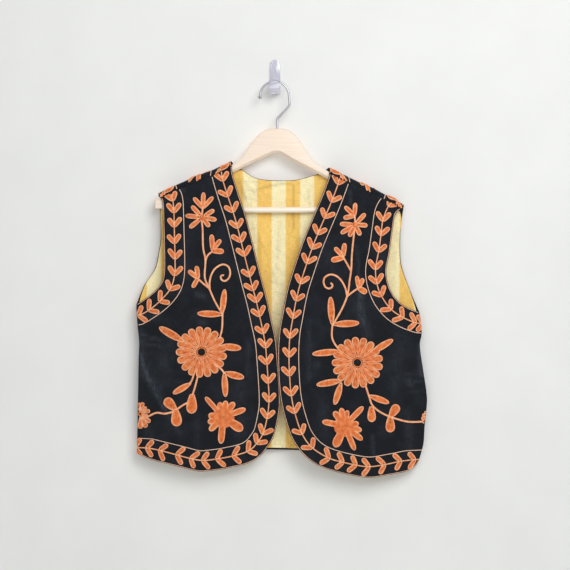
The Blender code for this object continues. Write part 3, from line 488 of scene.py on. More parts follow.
def finish_called(name, **sockets):
    """A material with its shader's constant sockets set; returns it, its tree and its shader."""
    material = bpy.data.materials.new(name)
    material.use_nodes = True
    tree = material.node_tree
    shader = tree.nodes["Principled BSDF"]
    for key, value in sockets.items():
        shader.inputs[key.replace("_", " ")].default_value = value
    return material, tree, shader


def velvet_finish():
    """Black cotton velvet, cut pile, worn: deep black into the pile, a soft grey edge where the
    pile leans away, paler where it has been rubbed, and paler again with painted sheen along its
    creases and on the shoulders."""
    material, tree, shader = finish_called(
        "black_cotton_velvet", Roughness=0.92, Sheen_Weight=0.34, Sheen_Roughness=0.42,
        Sheen_Tint=colour("#8f96a3"), Specular_IOR_Level=0.12)
    place = put(tree, "TexCoord", out="Object")
    wear_and_painted_light = put(tree, "Attribute", out="Fac", attribute_name="wear_and_painted_light")
    # pile: tufts are 0.3 mm in the cloth, drawn at 1.4 mm so that they show
    pile = put(tree, "TexNoise", {"Vector": place, "Scale": per(1.4), "Detail": 2.0})
    grain = put(tree, "MapRange", {"Value": pile, "From Min": 0.3, "From Max": 0.75,
                                   "To Min": 0.55, "To Max": 1.15})
    # nap: patches 20 to 40 mm across lean one way or the other
    nap = put(tree, "TexNoise", {"Vector": place, "Scale": per(34), "Detail": 4.0,
                                 "Roughness": 0.62, "Distortion": 0.5})
    lean = put(tree, "MapRange", {"Value": nap, "From Min": 0.44, "From Max": 0.72,
                                  "To Max": 0.10})
    # rubbed pile and the painted sheen are patchy: smoky marks 4 mm across and 9 mm long
    strokes = put(tree, "Mapping", {"Vector": place, "Scale": per(4, 4, 9)})
    smoke = put(tree, "TexNoise", {"Vector": strokes, "Scale": 1.0, "Detail": 4.0,
                                   "Roughness": 0.6})
    streak = put(tree, "MapRange", {"Value": smoke, "From Min": 0.34, "From Max": 0.70,
                                    "To Min": 0.25})
    streaked_wear_and_sheen = put(tree, "Math", {0: wear_and_painted_light, 1: streak}, operation="MULTIPLY")
    wear_and_painted_light_amount = put(tree, "Math", {0: streaked_wear_and_sheen, 1: grain}, operation="MULTIPLY")
    paler_by_wear_sheen_and_nap = put(tree, "Math", {0: wear_and_painted_light_amount, 1: lean}, operation="ADD", use_clamp=True)
    dark = put(tree, "Mix", {0: pile, 6: colour("#15171b"), 7: colour("#202328")}, 2,
               data_type="RGBA")
    # worn pile and painted sheen: a pale blue-grey laid over the black
    tint = put(tree, "Mix", {0: paler_by_wear_sheen_and_nap, 6: dark, 7: colour("#4d525c")}, 2, data_type="RGBA")
    relief_of_pile = put(tree, "Bump", {"Strength": 0.25, "Distance": 0.5 * MM, "Height": pile})
    tree.links.new(tint, shader.inputs["Base Color"])
    tree.links.new(relief_of_pile, shader.inputs["Normal"])
    return material


def lining_finish():
    """Plain-woven cotton with woven stripes, slubby and matt: uneven threads both ways, stripes
    with soft edges, with painted shade along its creases and folds."""
    material, tree, shader = finish_called(
        "striped_slub_cotton", Roughness=0.86, Sheen_Weight=0.08, Specular_IOR_Level=0.25)
    flat = put(tree, "UVMap", uv_map="flat")
    across = put(tree, "SeparateXYZ", {0: flat})
    # the edges of the stripes stray by 1.6 mm to either side
    ragged = put(tree, "TexNoise", {"Vector": flat, "Scale": per(4), "Detail": 2.0})
    stray = put(tree, "MapRange", {"Value": ragged, "To Min": -1.6 * MM, "To Max": 1.6 * MM})
    strayed = put(tree, "Math", {0: across, 1: stray}, operation="ADD")
    from_mid = put(tree, "Math", {0: strayed, 1: CREAM_MIDDLE * MM}, operation="SUBTRACT")
    fold = put(tree, "Math", {0: from_mid, 1: STRIPE * MM}, operation="PINGPONG")
    gold = put(tree, "MapRange", {"Value": fold, "From Min": 11.2 * MM, "From Max": 14.3 * MM})
    # threads are 0.5 mm apart, drawn at 1.3 mm; slubs run some 12 mm along them
    threads = []
    for sizes in ((1.3, 12, 1000), (10, 1.3, 1000)):
        spun = put(tree, "Mapping", {"Vector": flat, "Scale": per(*sizes)})
        threads.append(put(tree, "TexNoise", {"Vector": spun, "Scale": 1.0, "Detail": 2.0}))
    weave = put(tree, "Math", {0: threads[0], 1: threads[1]}, operation="ADD")
    tone = put(tree, "MapRange", {"Value": weave, "From Min": 0.65, "From Max": 1.35,
                                  "To Min": 0.82, "To Max": 1.10})
    fade = put(tree, "TexNoise", {"Vector": flat, "Scale": per(50), "Detail": 3.0})
    wear = put(tree, "MapRange", {"Value": fade, "From Min": 0.3, "From Max": 0.75,
                                  "To Min": 0.94, "To Max": 1.06})
    # washed and not ironed: painted shade along broken crease lines 1 mm wide that wander over it,
    # some 25 mm apart
    crumple = put(tree, "TexNoise", {"Vector": flat, "Scale": per(60), "Detail": 1.0,
                                     "Distortion": 1.2})
    from_line = put(tree, "Math", {0: crumple, 1: 0.5}, operation="SUBTRACT")
    near_line = put(tree, "Math", {0: from_line}, operation="ABSOLUTE")
    line = put(tree, "MapRange", {"Value": near_line, "From Min": 0.022, "From Max": 0.0})
    broken = put(tree, "MapRange", {"Value": fade, "From Min": 0.42, "From Max": 0.6})
    painted_crumple_shade = put(tree, "Math", {0: line, 1: broken}, operation="MULTIPLY")
    # painted shade along the main creases, from the table of wear and painted light
    painted_fold_shade = put(tree, "Attribute", out="Fac", attribute_name="wear_and_painted_light")
    light = put(tree, "Math", {0: tone, 1: wear}, operation="MULTIPLY")
    # both are painted shade: the crease lines darken to 0.88, the main creases to 0.72
    for mark, darkest in ((painted_crumple_shade, 0.88), (painted_fold_shade, 0.72)):
        shade = put(tree, "MapRange", {"Value": mark, "To Min": 1.0, "To Max": darkest})
        light = put(tree, "Math", {0: light, 1: shade}, operation="MULTIPLY")
    stripe = put(tree, "Mix", {0: gold, 6: colour("#fdf1c0"), 7: colour("#f7cc70")}, 2,
                 data_type="RGBA")
    shaded = put(tree, "VectorMath", {0: stripe, "Scale": light}, operation="SCALE")
    relief_of_weave = put(tree, "Bump", {"Strength": 0.35, "Distance": 0.4 * MM,
                                         "Height": weave})
    tree.links.new(shaded, shader.inputs["Base Color"])
    tree.links.new(relief_of_weave, shader.inputs["Normal"])
    return material


def thread_finish(name, low, high):
    """Soft-twisted wool in chain stitch: matt, a little fuzzy, its dye uneven along the thread."""
    material, tree, shader = finish_called(
        name, Roughness=0.85, Sheen_Weight=0.03, Sheen_Roughness=0.5,
        Sheen_Tint=colour("#ffc79e"), Specular_IOR_Level=0.05)
    place = put(tree, "TexCoord", out="Object")
    # patches of dye are 6 mm long; the wool's hairs are finer, drawn at 0.6 mm
    patch = put(tree, "TexNoise", {"Vector": place, "Scale": per(6), "Detail": 3.0})
    fuzz = put(tree, "TexNoise", {"Vector": place, "Scale": per(0.6), "Detail": 2.0})
    dye = put(tree, "MapRange", {"Value": patch, "From Min": 0.35, "From Max": 0.65})
    tint = put(tree, "Mix", {0: dye, 6: colour(low), 7: colour(high)}, 2, data_type="RGBA")
    hairs = put(tree, "Bump", {"Strength": 0.3, "Distance": 0.2 * MM, "Height": fuzz})
    tree.links.new(tint, shader.inputs["Base Color"])
    tree.links.new(hairs, shader.inputs["Normal"])
    return material


def wood_finish(name, low, high):
    """Sanded beech under a clear coat: pale, fine grain along the piece with short dark flecks."""
    material, tree, shader = finish_called(
        name, Roughness=0.46, Coat_Weight=0.35, Coat_Roughness=0.22, IOR=1.5)
    place = put(tree, "TexCoord", out="Object")
    # growth rings show as lines 2.5 mm apart and 90 mm long, flecks 0.8 by 6 mm
    rings = put(tree, "Mapping", {"Vector": place, "Scale": per(90, 2.5, 2.5)})
    flecks = put(tree, "Mapping", {"Vector": place, "Scale": per(6, 0.8, 0.8)})
    ring_noise = put(tree, "TexNoise", {"Vector": rings, "Scale": 1.0, "Detail": 3.0,
                                        "Distortion": 0.4})
    fleck_noise = put(tree, "TexNoise", {"Vector": flecks, "Scale": 1.0})
    grain = put(tree, "MapRange", {"Value": ring_noise, "From Min": 0.35, "From Max": 0.7})
    spot = put(tree, "MapRange", {"Value": fleck_noise, "From Min": 0.68, "From Max": 0.82,
                                  "To Max": 0.14})
    base = put(tree, "Mix", {0: grain, 6: colour(low), 7: colour(high)}, 2, data_type="RGBA")
    spotted = put(tree, "Mix", {0: spot, 6: base, 7: colour("#b98d5d")}, 2, data_type="RGBA")
    raised = put(tree, "Bump", {"Strength": 0.08, "Distance": 0.3 * MM, "Height": ring_noise})
    tree.links.new(spotted, shader.inputs["Base Color"])
    tree.links.new(raised, shader.inputs["Normal"])
    return material


def steel_finish():
    """Drawn steel wire, nickel bright: a mirror with faint draw lines that break it up, darker
    where it turns away."""
    material, tree, shader = finish_called(
        "bright_drawn_steel", Base_Color=colour("#bcbbc0"), Specular_Tint=colour("#5f5f65"),
        Metallic=1.0)
    place = put(tree, "TexCoord", out="Object")
    marks = put(tree, "TexNoise", {"Vector": place, "Scale": per(3), "Detail": 3.0})
    rough = put(tree, "MapRange", {"Value": marks, "To Min": 0.26, "To Max": 0.44})
    tree.links.new(rough, shader.inputs["Roughness"])
    return material


def acrylic_finish():
    """Moulded clear acrylic with a lilac cast: bright edges, faint moulding haze."""
    material, tree, shader = finish_called(
        "lilac_clear_acrylic", Base_Color=colour("#f1f0fb"), IOR=1.49, Transmission_Weight=0.65,
        Coat_Weight=0.8, Coat_Roughness=0.12)
    place = put(tree, "TexCoord", out="Object")
    haze = put(tree, "TexNoise", {"Vector": place, "Scale": per(9), "Detail": 2.0})
    rough = put(tree, "MapRange", {"Value": haze, "To Min": 0.04, "To Max": 0.2})
    tree.links.new(rough, shader.inputs["Roughness"])
    return material


def paint_finish(name, low, high, see_through_behind=False):
    """Flat wall paint, rolled: matt, with a faint unevenness."""
    material, tree, shader = finish_called(name, Roughness=0.95, Specular_IOR_Level=0.1)
    place = put(tree, "TexCoord", out="Object")
    rolled = put(tree, "TexNoise", {"Vector": place, "Scale": per(120), "Detail": 5.0})
    cloud = put(tree, "MapRange", {"Value": rolled, "From Min": 0.3, "From Max": 0.7})
    tint = put(tree, "Mix", {0: cloud, 6: colour(low), 7: colour(high)}, 2, data_type="RGBA")
    tree.links.new(tint, shader.inputs["Base Color"])
    if see_through_behind:
        behind = put(tree, "NewGeometry", out="Backfacing")
        clear = put(tree, "BsdfTransparent")
        either = put(tree, "MixShader", {0: behind, 1: shader.outputs[0], 2: clear})
        tree.links.new(either, tree.nodes["Material Output"].inputs["Surface"])
    return material


VELVET_FINISH = velvet_finish()
COTTON_FINISH = lining_finish()
THREADS = [thread_finish("light_orange_wool_thread", "#f2a57a", "#fdc399"),
           thread_finish("deep_orange_wool_thread", "#e27944", "#f49c63"),
           thread_finish("rust_wool_thread", "#db743d", "#ee9258"),
           thread_finish("pale_salmon_wool_thread", "#f2c8ac", "#fbdecb"),
           thread_finish("salmon_wool_thread", "#e8aa88", "#fad2b8")]
RIM, DEEP, RUST, PALE, THIN = range(5)
THINNESS = {PALE: 0.6, THIN: 0.48}


# ------------------------------------------------------------------ cloth
def mesh_of(name, form):
    """The mesh of a finished form, which is then let go."""
    mesh = bpy.data.meshes.new(name)
    form.to_mesh(mesh)
    form.free()
    return mesh


def add_object(name, data, materials, nodes=()):
    """A piece of the part: it rides on the body, and takes the place of the named solids."""
    piece = bpy.data.objects.new(name, data)
    bpy.context.scene.collection.objects.link(piece)
    for one in materials:
        data.materials.append(one)
    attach(piece, "root")
    if nodes:
        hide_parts(*nodes)
    return piece


def area_of(loop):
    """Signed area: positive where the outline runs anticlockwise."""
    x, z = loop[:, 0], loop[:, 1]
    return 0.5 * float(np.sum(x * np.roll(z, -1) - np.roll(x, -1) * z))


# worn places and painted light: paler on the velvet, partly worn pile and partly painted sheen
# along creases and on the shoulders; darker on the lining, painted shade along its creases: both
# ends (x, z), half width, strength
WEAR_AND_PAINTED_LIGHT = {
    # velvet: worn pile, with painted sheen along the creases and on the shoulders
    "right": [
        ((-244, -506), (-229, -548), 4.2, 0.70), ((-229, -548), (-200, -600), 4.4, 0.62),
        ((-200, -600), (-172, -644), 4.4, 0.36), ((-244, -484), (-208, -490), 2.6, 0.45),
        ((-244, -468), (-214, -474), 2.2, 0.45), ((-48, -484), (-49, -542), 2.6, 0.35),
        ((-242, -462), (-240, -540), 6.5, 0.26), ((-244, -477), (-206, -479), 2.0, 0.3),
        ((-140, -614), (-139, -669), 6.0, 0.18), ((-140, -396), (-129, -399), 5.5, 0.55),
        ((-134, -446), (-126, -447), 5.0, 0.45), ((-176, -196), (-167, -206), 6, 0.4),
        ((-236, -520), (-214, -560), 16, 0.28), ((-190, -480), (-200, -520), 14, 0.22),
        ((-160, -300), (-165, -360), 12, 0.16), ((-100, -280), (-90, -330), 14, 0.12),
        ((-60, -560), (-66, -650), 12, 0.18), ((-230, -640), (-226, -672), 9, 0.24),
        ((-236, -440), (-214, -430), 10, 0.26), ((-38, -420), (-30, -452), 8, 0.16)],
    "left": [
        ((148, -309), (153, -400), 2.8, 0.42), ((154, -396), (158, -446), 5.5, 0.52),
        ((236, -540), (268, -536), 2.2, 0.3), ((240, -556), (268, -552), 2.2, 0.3),
        ((238, -574), (266, -570), 2.2, 0.24), ((150, -418), (166, -470), 9, 0.30),
        ((176, -650), (177, -683), 2.6, 0.6), ((62, -443), (62, -551), 4.5, 0.28),
        ((263, -488), (265, -542), 3.2, 0.8), ((241, -553), (246, -558), 6.0, 0.45),
        ((77, -520), (76, -526), 6, 0.40), ((136, -210), (137, -232), 3.0, 0.5),
        ((142, -191), (152, -197), 5, 0.6), ((184, -209), (190, -218), 4, 0.5),
        ((226, -470), (216, -560), 15, 0.20), ((90, -300), (104, -360), 12, 0.14),
        ((240, -610), (246, -680), 9, 0.22), ((86, -590), (92, -650), 12, 0.16),
        ((196, -300), (190, -350), 10, 0.16)],
    "back": [
        ((-150, -250), (-126, -640), 18, 0.16), ((150, -260), (142, -640), 18, 0.16),
        ((-236, -470), (-196, -480), 2.4, 0.6), ((250, -500), (208, -494), 2.4, 0.6),
        ((0, -420), (6, -560), 30, 0.16), ((-60, -300), (-40, -340), 8, 0.4),
        ((96, -400), (92, -470), 3.2, 0.6), ((-90, -560), (-70, -610), 3.0, 0.5),
        ((200, -600), (204, -660), 7, 0.4), ((-205, -560), (-200, -620), 7, 0.4)],
    # lining: painted shade along its creases
    "lining": [
        ((34, -197), (34, -275), 2.4, 0.9), ((-66, -178), (-54, -222), 2.4, 0.8),
        ((-33, -205), (-7, -198), 2.2, 0.7), ((-7, -198), (14, -194), 2.2, 0.7),
        ((14, -194), (30, -195), 2.2, 0.7), ((-54, -190), (-33, -192), 2.0, 0.5),
        ((-54, -205), (-34, -208), 2.0, 0.5), ((-52, -219), (-34, -223), 2.0, 0.45),
        ((-44, -226), (-36, -300), 2.2, 0.4), ((8, -262), (4, -352), 2.2, 0.35),
        ((60, -206), (66, -246), 2.2, 0.5), ((-32, -290), (-12, -332), 2.4, 0.4),
        ((-6, -351), (4, -377), 2.2, 0.45), ((-9, -372), (12, -378), 2.0, 0.4),
        ((-1, -392), (16, -396), 2.0, 0.4), ((-2, -430), (10, -433), 2.0, 0.6),
        ((33, -290), (52, -297), 2.2, 0.4), ((2, -312), (26, -330), 2.2, 0.35),
        ((-3, -338), (14, -360), 2.2, 0.35)],
}


def as_cut(x):
    """How far along its own width a place of the cloth lies; plain pieces are cut as they hang."""
    return x


def eased_in(x):
    """The back lining is fuller than the back: past the right side of the neck it is eased in."""
    return x - 32.0 * ease((-x - 70) / 130)


def hang_cloth(name, outline, lift, thick, material, outward, nodes=(), panel=None,
               cell=CELL, cloth_x=as_cut):
    """A piece cut to its outline and into small cells, hung on its surface and given its wall;
    outward is the way its outer face looks, -1 to the viewer."""
    if (area_of(outline) > 0) != (outward < 0):
        outline = outline[::-1]
    cut = bmesh.new()
    cut.faces.new([cut.verts.new((x, z, 0)) for x, z in outline])
    low, high = outline.min(0), outline.max(0)
    for axis, way in ((0, (1, 0, 0)), (1, (0, 1, 0))):
        for place in np.arange(low[axis] + 0.6 * cell, high[axis] - 0.4, cell):
            bmesh.ops.bisect_plane(cut, geom=cut.verts[:] + cut.edges[:] + cut.faces[:], dist=0.05,
                                   plane_co=[place * w for w in way], plane_no=way)
    flat = cut.loops.layers.uv.new("flat")
    for face in cut.faces:
        face.smooth = True
        for corner in face.loops:
            corner[flat].uv = (float(cloth_x(corner.vert.co.x)) * MM, corner.vert.co.y * MM)
    places = np.array([v.co[:2] for v in cut.verts])
    hung = lift(places) * MM
    for vert, co in zip(cut.verts, hung):
        vert.co = co
    mesh = mesh_of(name, cut)
    if panel:
        # wear and painted light: painted sheen on the velvet, painted crease shade on the lining
        wear_and_painted_light_amount = relief(WEAR_AND_PAINTED_LIGHT[panel], *places.T)
        wear_and_painted_light = mesh.attributes.new("wear_and_painted_light", "FLOAT", "POINT")
        wear_and_painted_light.data.foreach_set("value", np.clip(wear_and_painted_light_amount, 0, 1).astype(np.float32))
    piece = add_object(name, mesh, [material], nodes)
    wall = piece.modifiers.new("wall", "SOLIDIFY")
    wall.thickness = thick * MM
    wall.offset = 0.0
    return piece, abs(area_of(outline)) * MM * MM, tuple((high - low) * MM)


# ------------------------------------------------------------------ chain stitch
def embroider(name, rows, lift, nodes=(), outward=1):
    """Chain stitch: in every row two strands of thread part and meet again at each link."""
    thread = bpy.data.curves.new(name, "CURVE")
    thread.dimensions = "3D"
    thread.bevel_depth = STRAND * MM
    thread.bevel_resolution = 0
    thread.twist_mode = "MINIMUM"
    for one in THREADS:                  # before the strands, which keep no slot that isn't there
        thread.materials.append(one)
    for path, closed, slot, high in rows:
        links = max(2, round(length_of(path, closed) / STITCH))
        p = evened(path, closed=closed, count=2 * links)
        n = directions(p, closed)[1]
        open_link = (np.arange(len(p)) % 2).astype(float)
        thin = THINNESS.get(slot, 1.0)
        part = thin * (LINK_SHUT + LINK_OPEN * open_link)
        for side in (-1, 1):
            q = p + n * (side * part)[:, None]
            up = VELVET / 2 + high + THREAD_UP + LINK_UP * open_link
            co = (lift(q) + surface_normal(lift, q) * (outward * up)[:, None]) * MM
            strand = thread.splines.new("POLY")
            strand.points.add(len(q) - 1)
            strand.points.foreach_set("co", np.c_[co, np.ones(len(q))].ravel())
            strand.points.foreach_set("radius", np.full(len(q), thin))
            strand.use_cyclic_u = closed
            strand.material_index = slot
            strand.use_smooth = True
    return add_object(name, thread, [], nodes)


def polar(angle, length):
    """A step of that length at an angle in degrees, 0 along +X."""
    return np.array((math.cos(math.radians(angle)), math.sin(math.radians(angle)))) * length


DROP_LEAF = [(0, 0.40), (0.12, 0.58), (0.30, 0.80), (0.50, 0.95), (0.70, 1.0), (0.86, 0.84),
             (0.96, 0.46)]
FINGER_LEAF = [(0, 0.62), (0.12, 0.80), (0.30, 0.95), (0.52, 1.0), (0.74, 0.99), (0.88, 0.82),
               (0.965, 0.46)]
DROP_FROM = 14.0          # a round leaf this wide is a drop, a slimmer one a finger
POINTED_LEAF = [(0, 0.28), (0.10, 0.52), (0.26, 0.84), (0.45, 1.0), (0.62, 0.98), (0.78, 0.86),
                (0.90, 0.64), (0.975, 0.34)]


def lobe(base, along, across, rows, tip):
    """A closed outline with two like sides: rows give its place along and its half width."""
    base = np.asarray(base, float)
    points = ([base + along * t - across * w for t, w in rows] + [base + along * tip]
              + [base + along * t + across * w for t, w in rows[::-1]])
    return curve(points, 0.9, True)


def leaf(base, angle, long, wide, pointed=False):
    """A leaf's closed outline, from its base along angle."""
    rows = POINTED_LEAF if pointed else DROP_LEAF if wide > DROP_FROM else FINGER_LEAF
    return lobe(base, polar(angle, long), polar(angle + 90, wide / 2), rows, 1)


def petal(centre, angle, half, inner, outer):
    """One petal of a round flower: it widens outwards and has a round end."""
    spread = math.tan(math.radians(half)) * 0.98
    middle = (inner + outer) / 2
    rows = [(inner, inner * spread * 0.8 + 0.3), (inner + 4, (inner + 4) * spread),
            (middle, middle * spread), (outer * 0.80, outer * 0.79 * spread),
            (outer * 0.91, outer * 0.73 * spread), (outer * 0.98, outer * spread * 0.42)]
    return lobe(centre, polar(angle, 1), polar(angle + 90, 1), rows, outer)


def inset(loop, d):
    """A closed outline drawn in by d, or nothing where it closes up."""
    if area_of(loop) < 0:
        loop = loop[::-1]
    moved = loop + directions(loop, True)[1] * d
    gap = np.linalg.norm(moved[:, None] - loop[None], axis=2).min(1)
    return moved[gap > d * 0.965]


def filled(loop, half, slots=(RIM, DEEP, RUST), padding=0.3):
    """Rows of stitch round and round inside an outline that is half wide at its widest, evenly
    spaced so that they close it up, the inner ones a little higher; one low row runs along the
    middle, where they turn."""
    count = max(1, math.ceil(half / ROW_WIDE - 0.12))
    rows = []
    if half > 3.5:
        foot = (loop[0] + loop[-1]) / 2
        tip = loop[int(np.argmax(np.linalg.norm(loop - foot, axis=1)))]
        rows.append((evened([foot + (tip - foot) * 0.12, foot + (tip - foot) * 0.9], 2), False,
                     DEEP, -0.12))
    for k in range(count):
        row = inset(loop, half / count * (k + 0.5))
        if len(row) > 3 and length_of(row, True) > 4.0:
            rows.append((row, True, slots[min(k, len(slots) - 1)], 0.25 + padding * min(k, 2)))
    return rows


def spiral(centre, radius, slot=DEEP, high=0.7):
    """Stitch wound from a flower's middle outwards."""
    turns = max(1, round(radius / ROW_WIDE))
    t = np.linspace(0, 1, 14 * turns)
    a = 360 * turns * t
    r = 0.6 + (radius - 0.6) * t
    path = np.stack([np.cos(np.radians(a)) * r, np.sin(np.radians(a)) * r], 1)
    return (path + centre, False, slot, high)


def ring(centre, radius, slot, high):
    path = np.array([polar(a, radius) for a in range(0, 360, 12)]) + centre
    return (path, True, slot, high)


def stem_rows(path, slot=RIM, double=True):
    """A stem: two rows side by side, or one."""
    path = evened(curve(path, 2), 2)
    if not double:
        return [(path, False, slot, 0.25)]
    n = directions(path)[1]
    return [(path + n * d, False, slot, 0.25) for d in (-0.6, 0.6)]


def stem_path(edge, hand, inward):
    """A border's stem, run on level past the side seam, and how many of its points lie short of
    the seam."""
    way = 1 if hand == "right" else -1
    beyond = (edge[-1][0] - way * 40, edge[-1][1])
    path = evened(offset(evened(curve(edge + [beyond], 6), 6), inward), 2)
    return path, int((way * (path[:, 0] - side_x(hand, path[:, 1])) > 2.0).sum())


def vine_rows(path, count, wave, feet, first=None):
    """A stem with its pairs of leaves, which open back towards its start; feet past the first
    count points of the stem lie beyond a seam; first is the first pair's turn and length."""
    step = length_of(path) / (len(path) - 1)
    places, rows = [path[0]], []
    for k, foot in enumerate(feet):
        i = min(round(foot / step), len(path) - 3)
        d = (path[i + 2] - path[i - 2]) / np.linalg.norm(path[i + 2] - path[i - 2])
        back = math.degrees(math.atan2(-d[1], -d[0]))
        places.append(path[i])
        turn, long = LEAF_TURN + LEVEL_TURN * abs(d[0]), LEAF_LONG
        if first and k == 0:
            turn, long = first
        wobble = LEAF_WOBBLE * math.sin(2.3 * k + wave)
        for side in (-1, 1):
            rows += filled(leaf(path[i] + d * LEAF_FOOT, back + side * turn + wobble,
                                long * (1.04 + 0.06 * math.sin(1.7 * k + side)), LEAF_WIDE),
                           LEAF_WIDE / 2)
    if round(feet[-1] / step) < count:
        places.append(path[min(len(path) - 1, count + 8)])
    return rows + stem_rows(places, RIM, double=False)


def run_on(path, far, level):
    """A path carried straight on at its start, and at its end too, there level where that ends
    at a side seam."""
    path = evened(curve(path, 3), 2.5)
    first, last = path[0] - path[3], path[-1] - path[-4]
    if level:
        last = np.array((math.copysign(1.0, level), 0.0))
    first, last = first / np.linalg.norm(first), last / np.linalg.norm(last)
    t = np.arange(2.5, far, 2.5)[:, None]
    return np.concatenate([path[0] + first * t[::-1], path, path[-1] + last * t])


def plain_rows(edge, way, level=0):
    """The thin row along an edge and the paler row that closes the border."""
    path = run_on(edge, 50, level)
    return [(offset(path, way * ROW_OUTER), False, THIN, 0.0),
            (evened(offset(path, way * ROW_INNER), 2.5), False, PALE, 0.0)]


def kept_inside(rows, outline, gap=1.5):
    """Rows of stitch, cut where they would cross a panel's edge or seam."""
    out = []
    ends = np.roll(outline, -1, 0)
    for path, closed, slot, high in rows:
        x, z = path[:, 0][:, None], path[:, 1][:, None]
        crossing = (outline[:, 1] > z) != (ends[:, 1] > z)
        slope = (ends[:, 0] - outline[:, 0]) / np.where(ends[:, 1] == outline[:, 1], 1e-9,
                                                        ends[:, 1] - outline[:, 1])
        odd = (crossing & (x < outline[:, 0] + (z - outline[:, 1]) * slope)).sum(1) % 2 == 1
        near = np.linalg.norm(path[:, None] - outline[None], axis=2).min(1)
        keep = odd & (near > gap)
        if keep.all():
            out.append((path, closed, slot, high))
            continue
        if not keep.any():
            continue
        if closed:
            first = int(np.argmin(keep))
            path, keep = np.roll(path, -first, 0), np.roll(keep, -first)
        turns = np.flatnonzero(np.diff(np.concatenate([[0], keep.astype(int), [0]])))
        out += [(path[a:b], False, slot, high) for a, b in zip(turns[::2], turns[1::2])
                if b - a > 3]
    return out


# ------------------------------------------------------------------ motifs
SPRAY = {
    "right": {
        "stems": [[(-132, -262), (-130, -280), (-129, -312), (-125, -334), (-126, -365),
                   (-119, -383), (-108, -408), (-95, -430)],
                  [(-130, -238), (-132, -258)],
                  [(-125, -336), (-121, -325.5), (-112.5, -318.5)],
                  [(-119, -384), (-128, -377), (-138, -368)],
                  [(-94, -430), (-95, -458), (-101, -480)],
                  [(-110, -520), (-97, -530), (-90, -539)],
                  [(-138, -540), (-143, -560), (-149, -580)],
                  [(-146, -540), (-150, -552), (-158, -561)],
                  [(-150, -588), (-166, -596), (-180, -606)],
                  [(-180, -607), (-198, -611), (-214, -610), (-232, -619)]],
        "curl": [(-117, -388), (-117.5, -375), (-114.5, -361), (-107, -349), (-94.5, -342),
                 (-84.5, -345), (-80.5, -354), (-81.5, -364), (-87.5, -371), (-94, -371),
                 (-97.5, -366), (-96, -361.5), (-91.5, -361.5)],
        "top": (-131, -257), "big": (-132, -500),
    },
    "left": {
        "stems": [[(145, -274), (142.5, -290), (139, -324), (138, -349), (135, -371),
                   (131, -397), (121, -422), (105, -450)],
                  [(144, -252), (146, -272)],
                  [(137, -353), (130.5, -341), (123, -328)],
                  [(131, -399), (141, -391), (150, -385)],
                  [(104, -450), (103, -472), (110, -488), (124, -503)],
                  [(162, -555), (170, -580), (176, -596), (190, -608), (208, -617)],
                  [(208, -617), (240, -626), (268, -627)]],
        "curl": [(130.5, -401), (128, -387), (122, -374), (113, -364), (101.5, -360), (91.5, -364),
                 (88, -372), (90.5, -381.5), (97, -385.5), (103, -383), (104, -378),
                 (100.5, -375.5)],
        "top": (145, -270), "big": (149, -519),
    },
}
# leaves of each front's spray: base, angle, length, width, pointed
LEAVES = {
    "right": [
        ((-130, -240), 88, 29, 8.5, False), ((-130, -240), 48, 28, 8.5, False),
        ((-130, -240), 132, 26, 8.5, False), ((-112, -316), 94, 28.5, 9.5, False),
        ((-111, -314.5), 52, 22.5, 8.8, False), ((-114, -317), -4, 22.5, 9.8, False),
        ((-138, -367), 98, 23, 9, False), ((-138, -367), 142, 23, 9, False),
        ((-138, -366), 240, 21, 8.5, False), ((-95, -432), 84, 46, 11, True),
        ((-93, -432), 178, 47, 12, True), ((-164, -481), 150, 52, 14, True),
        ((-98, -489), -6, 38, 13, True), ((-91, -537), -14, 37, 13, True),
        ((-91, -536), -87, 45, 11.5, True), ((-151, -556), 210, 38, 11, True),
        ((-149, -576), 268, 35, 19, False), ((-179, -604), 134, 27.5, 18.5, False),
        ((-179, -603), 275, 31, 19, False)],
    "left": [
        ((144, -254), 86, 24, 8.5, False), ((144, -254), 136, 25, 8.5, False),
        ((144, -254), 192, 21, 9, False), ((123.5, -327.5), 84, 24.5, 9.3, False),
        ((123, -327.5), 133, 22.5, 8.8, False), ((124, -329.5), 193, 23, 10.2, False),
        ((151, -384), 98, 22, 7.5, False), ((151.5, -383.5), 64, 18.5, 8.8, False),
        ((151.5, -384.5), -32, 16.5, 10, False), ((103, -450), 93, 50, 12.5, True),
        ((104, -450), 3, 49, 12.5, True), ((118, -498), 186, 51, 12, True),
        ((174, -501), 31, 46, 12, True), ((121, -551), 190, 47, 12, True),
        ((120, -555), 253, 42, 12, True), ((170, -578), -21, 39, 11, True),
        ((174, -598), 272, 28, 15, False), ((208, -617), 56, 26, 16.5, False),
        ((208, -616), 271, 29, 17, False)],
}
PETALS = {                  # the small top flowers' lower petals: angle, length
    "right": [(32, 26), (-10, 27), (-52, 22), (220, 30), (174, 31), (133, 29)],
    "left": [(47, 28), (-4, 23), (-64, 22), (243, 25), (212, 31), (178, 28)],
}
SMALL = {                   # the armed flowers: centre, then each arm's angle, reach, width
    "right": ((-93, -617), [(104, 27.5, 10.5), (80, 30, 10.5), (53, 33.5, 11.5), (174, 27, 11.5),
                            (200, 29.5, 11.5), (225, 35, 11.5), (132, 49, 9.5), (20, 43, 10.5),
                            (-34, 42.5, 17), (265, 48.5, 12)]),
    "left": ((126, -633), [(127, 32.5, 11.5), (101, 33, 10.5), (79, 29, 9.5), (10, 26, 10.5),
                           (-15, 32, 10.5), (-38, 41, 10.5), (46, 48.5, 10), (169, 41.5, 10.5),
                           (245, 42.5, 16.5), (-67, 48, 10)]),
}
SIDE_FLOWER = {      # cut by the side seams: centre, petals' half angle, angles and reaches
    "right": ((-244, -613), 13.5, [(100, 21), (76, 22), (48, 18), (20, 20), (-10, 15), (-37, 24),
                                   (-64, 27), (-90, 27)]),
    "left": ((280, -621), 16, [(120, 15), (150, 15), (180, 15), (210, 15), (240, 15)]),
}


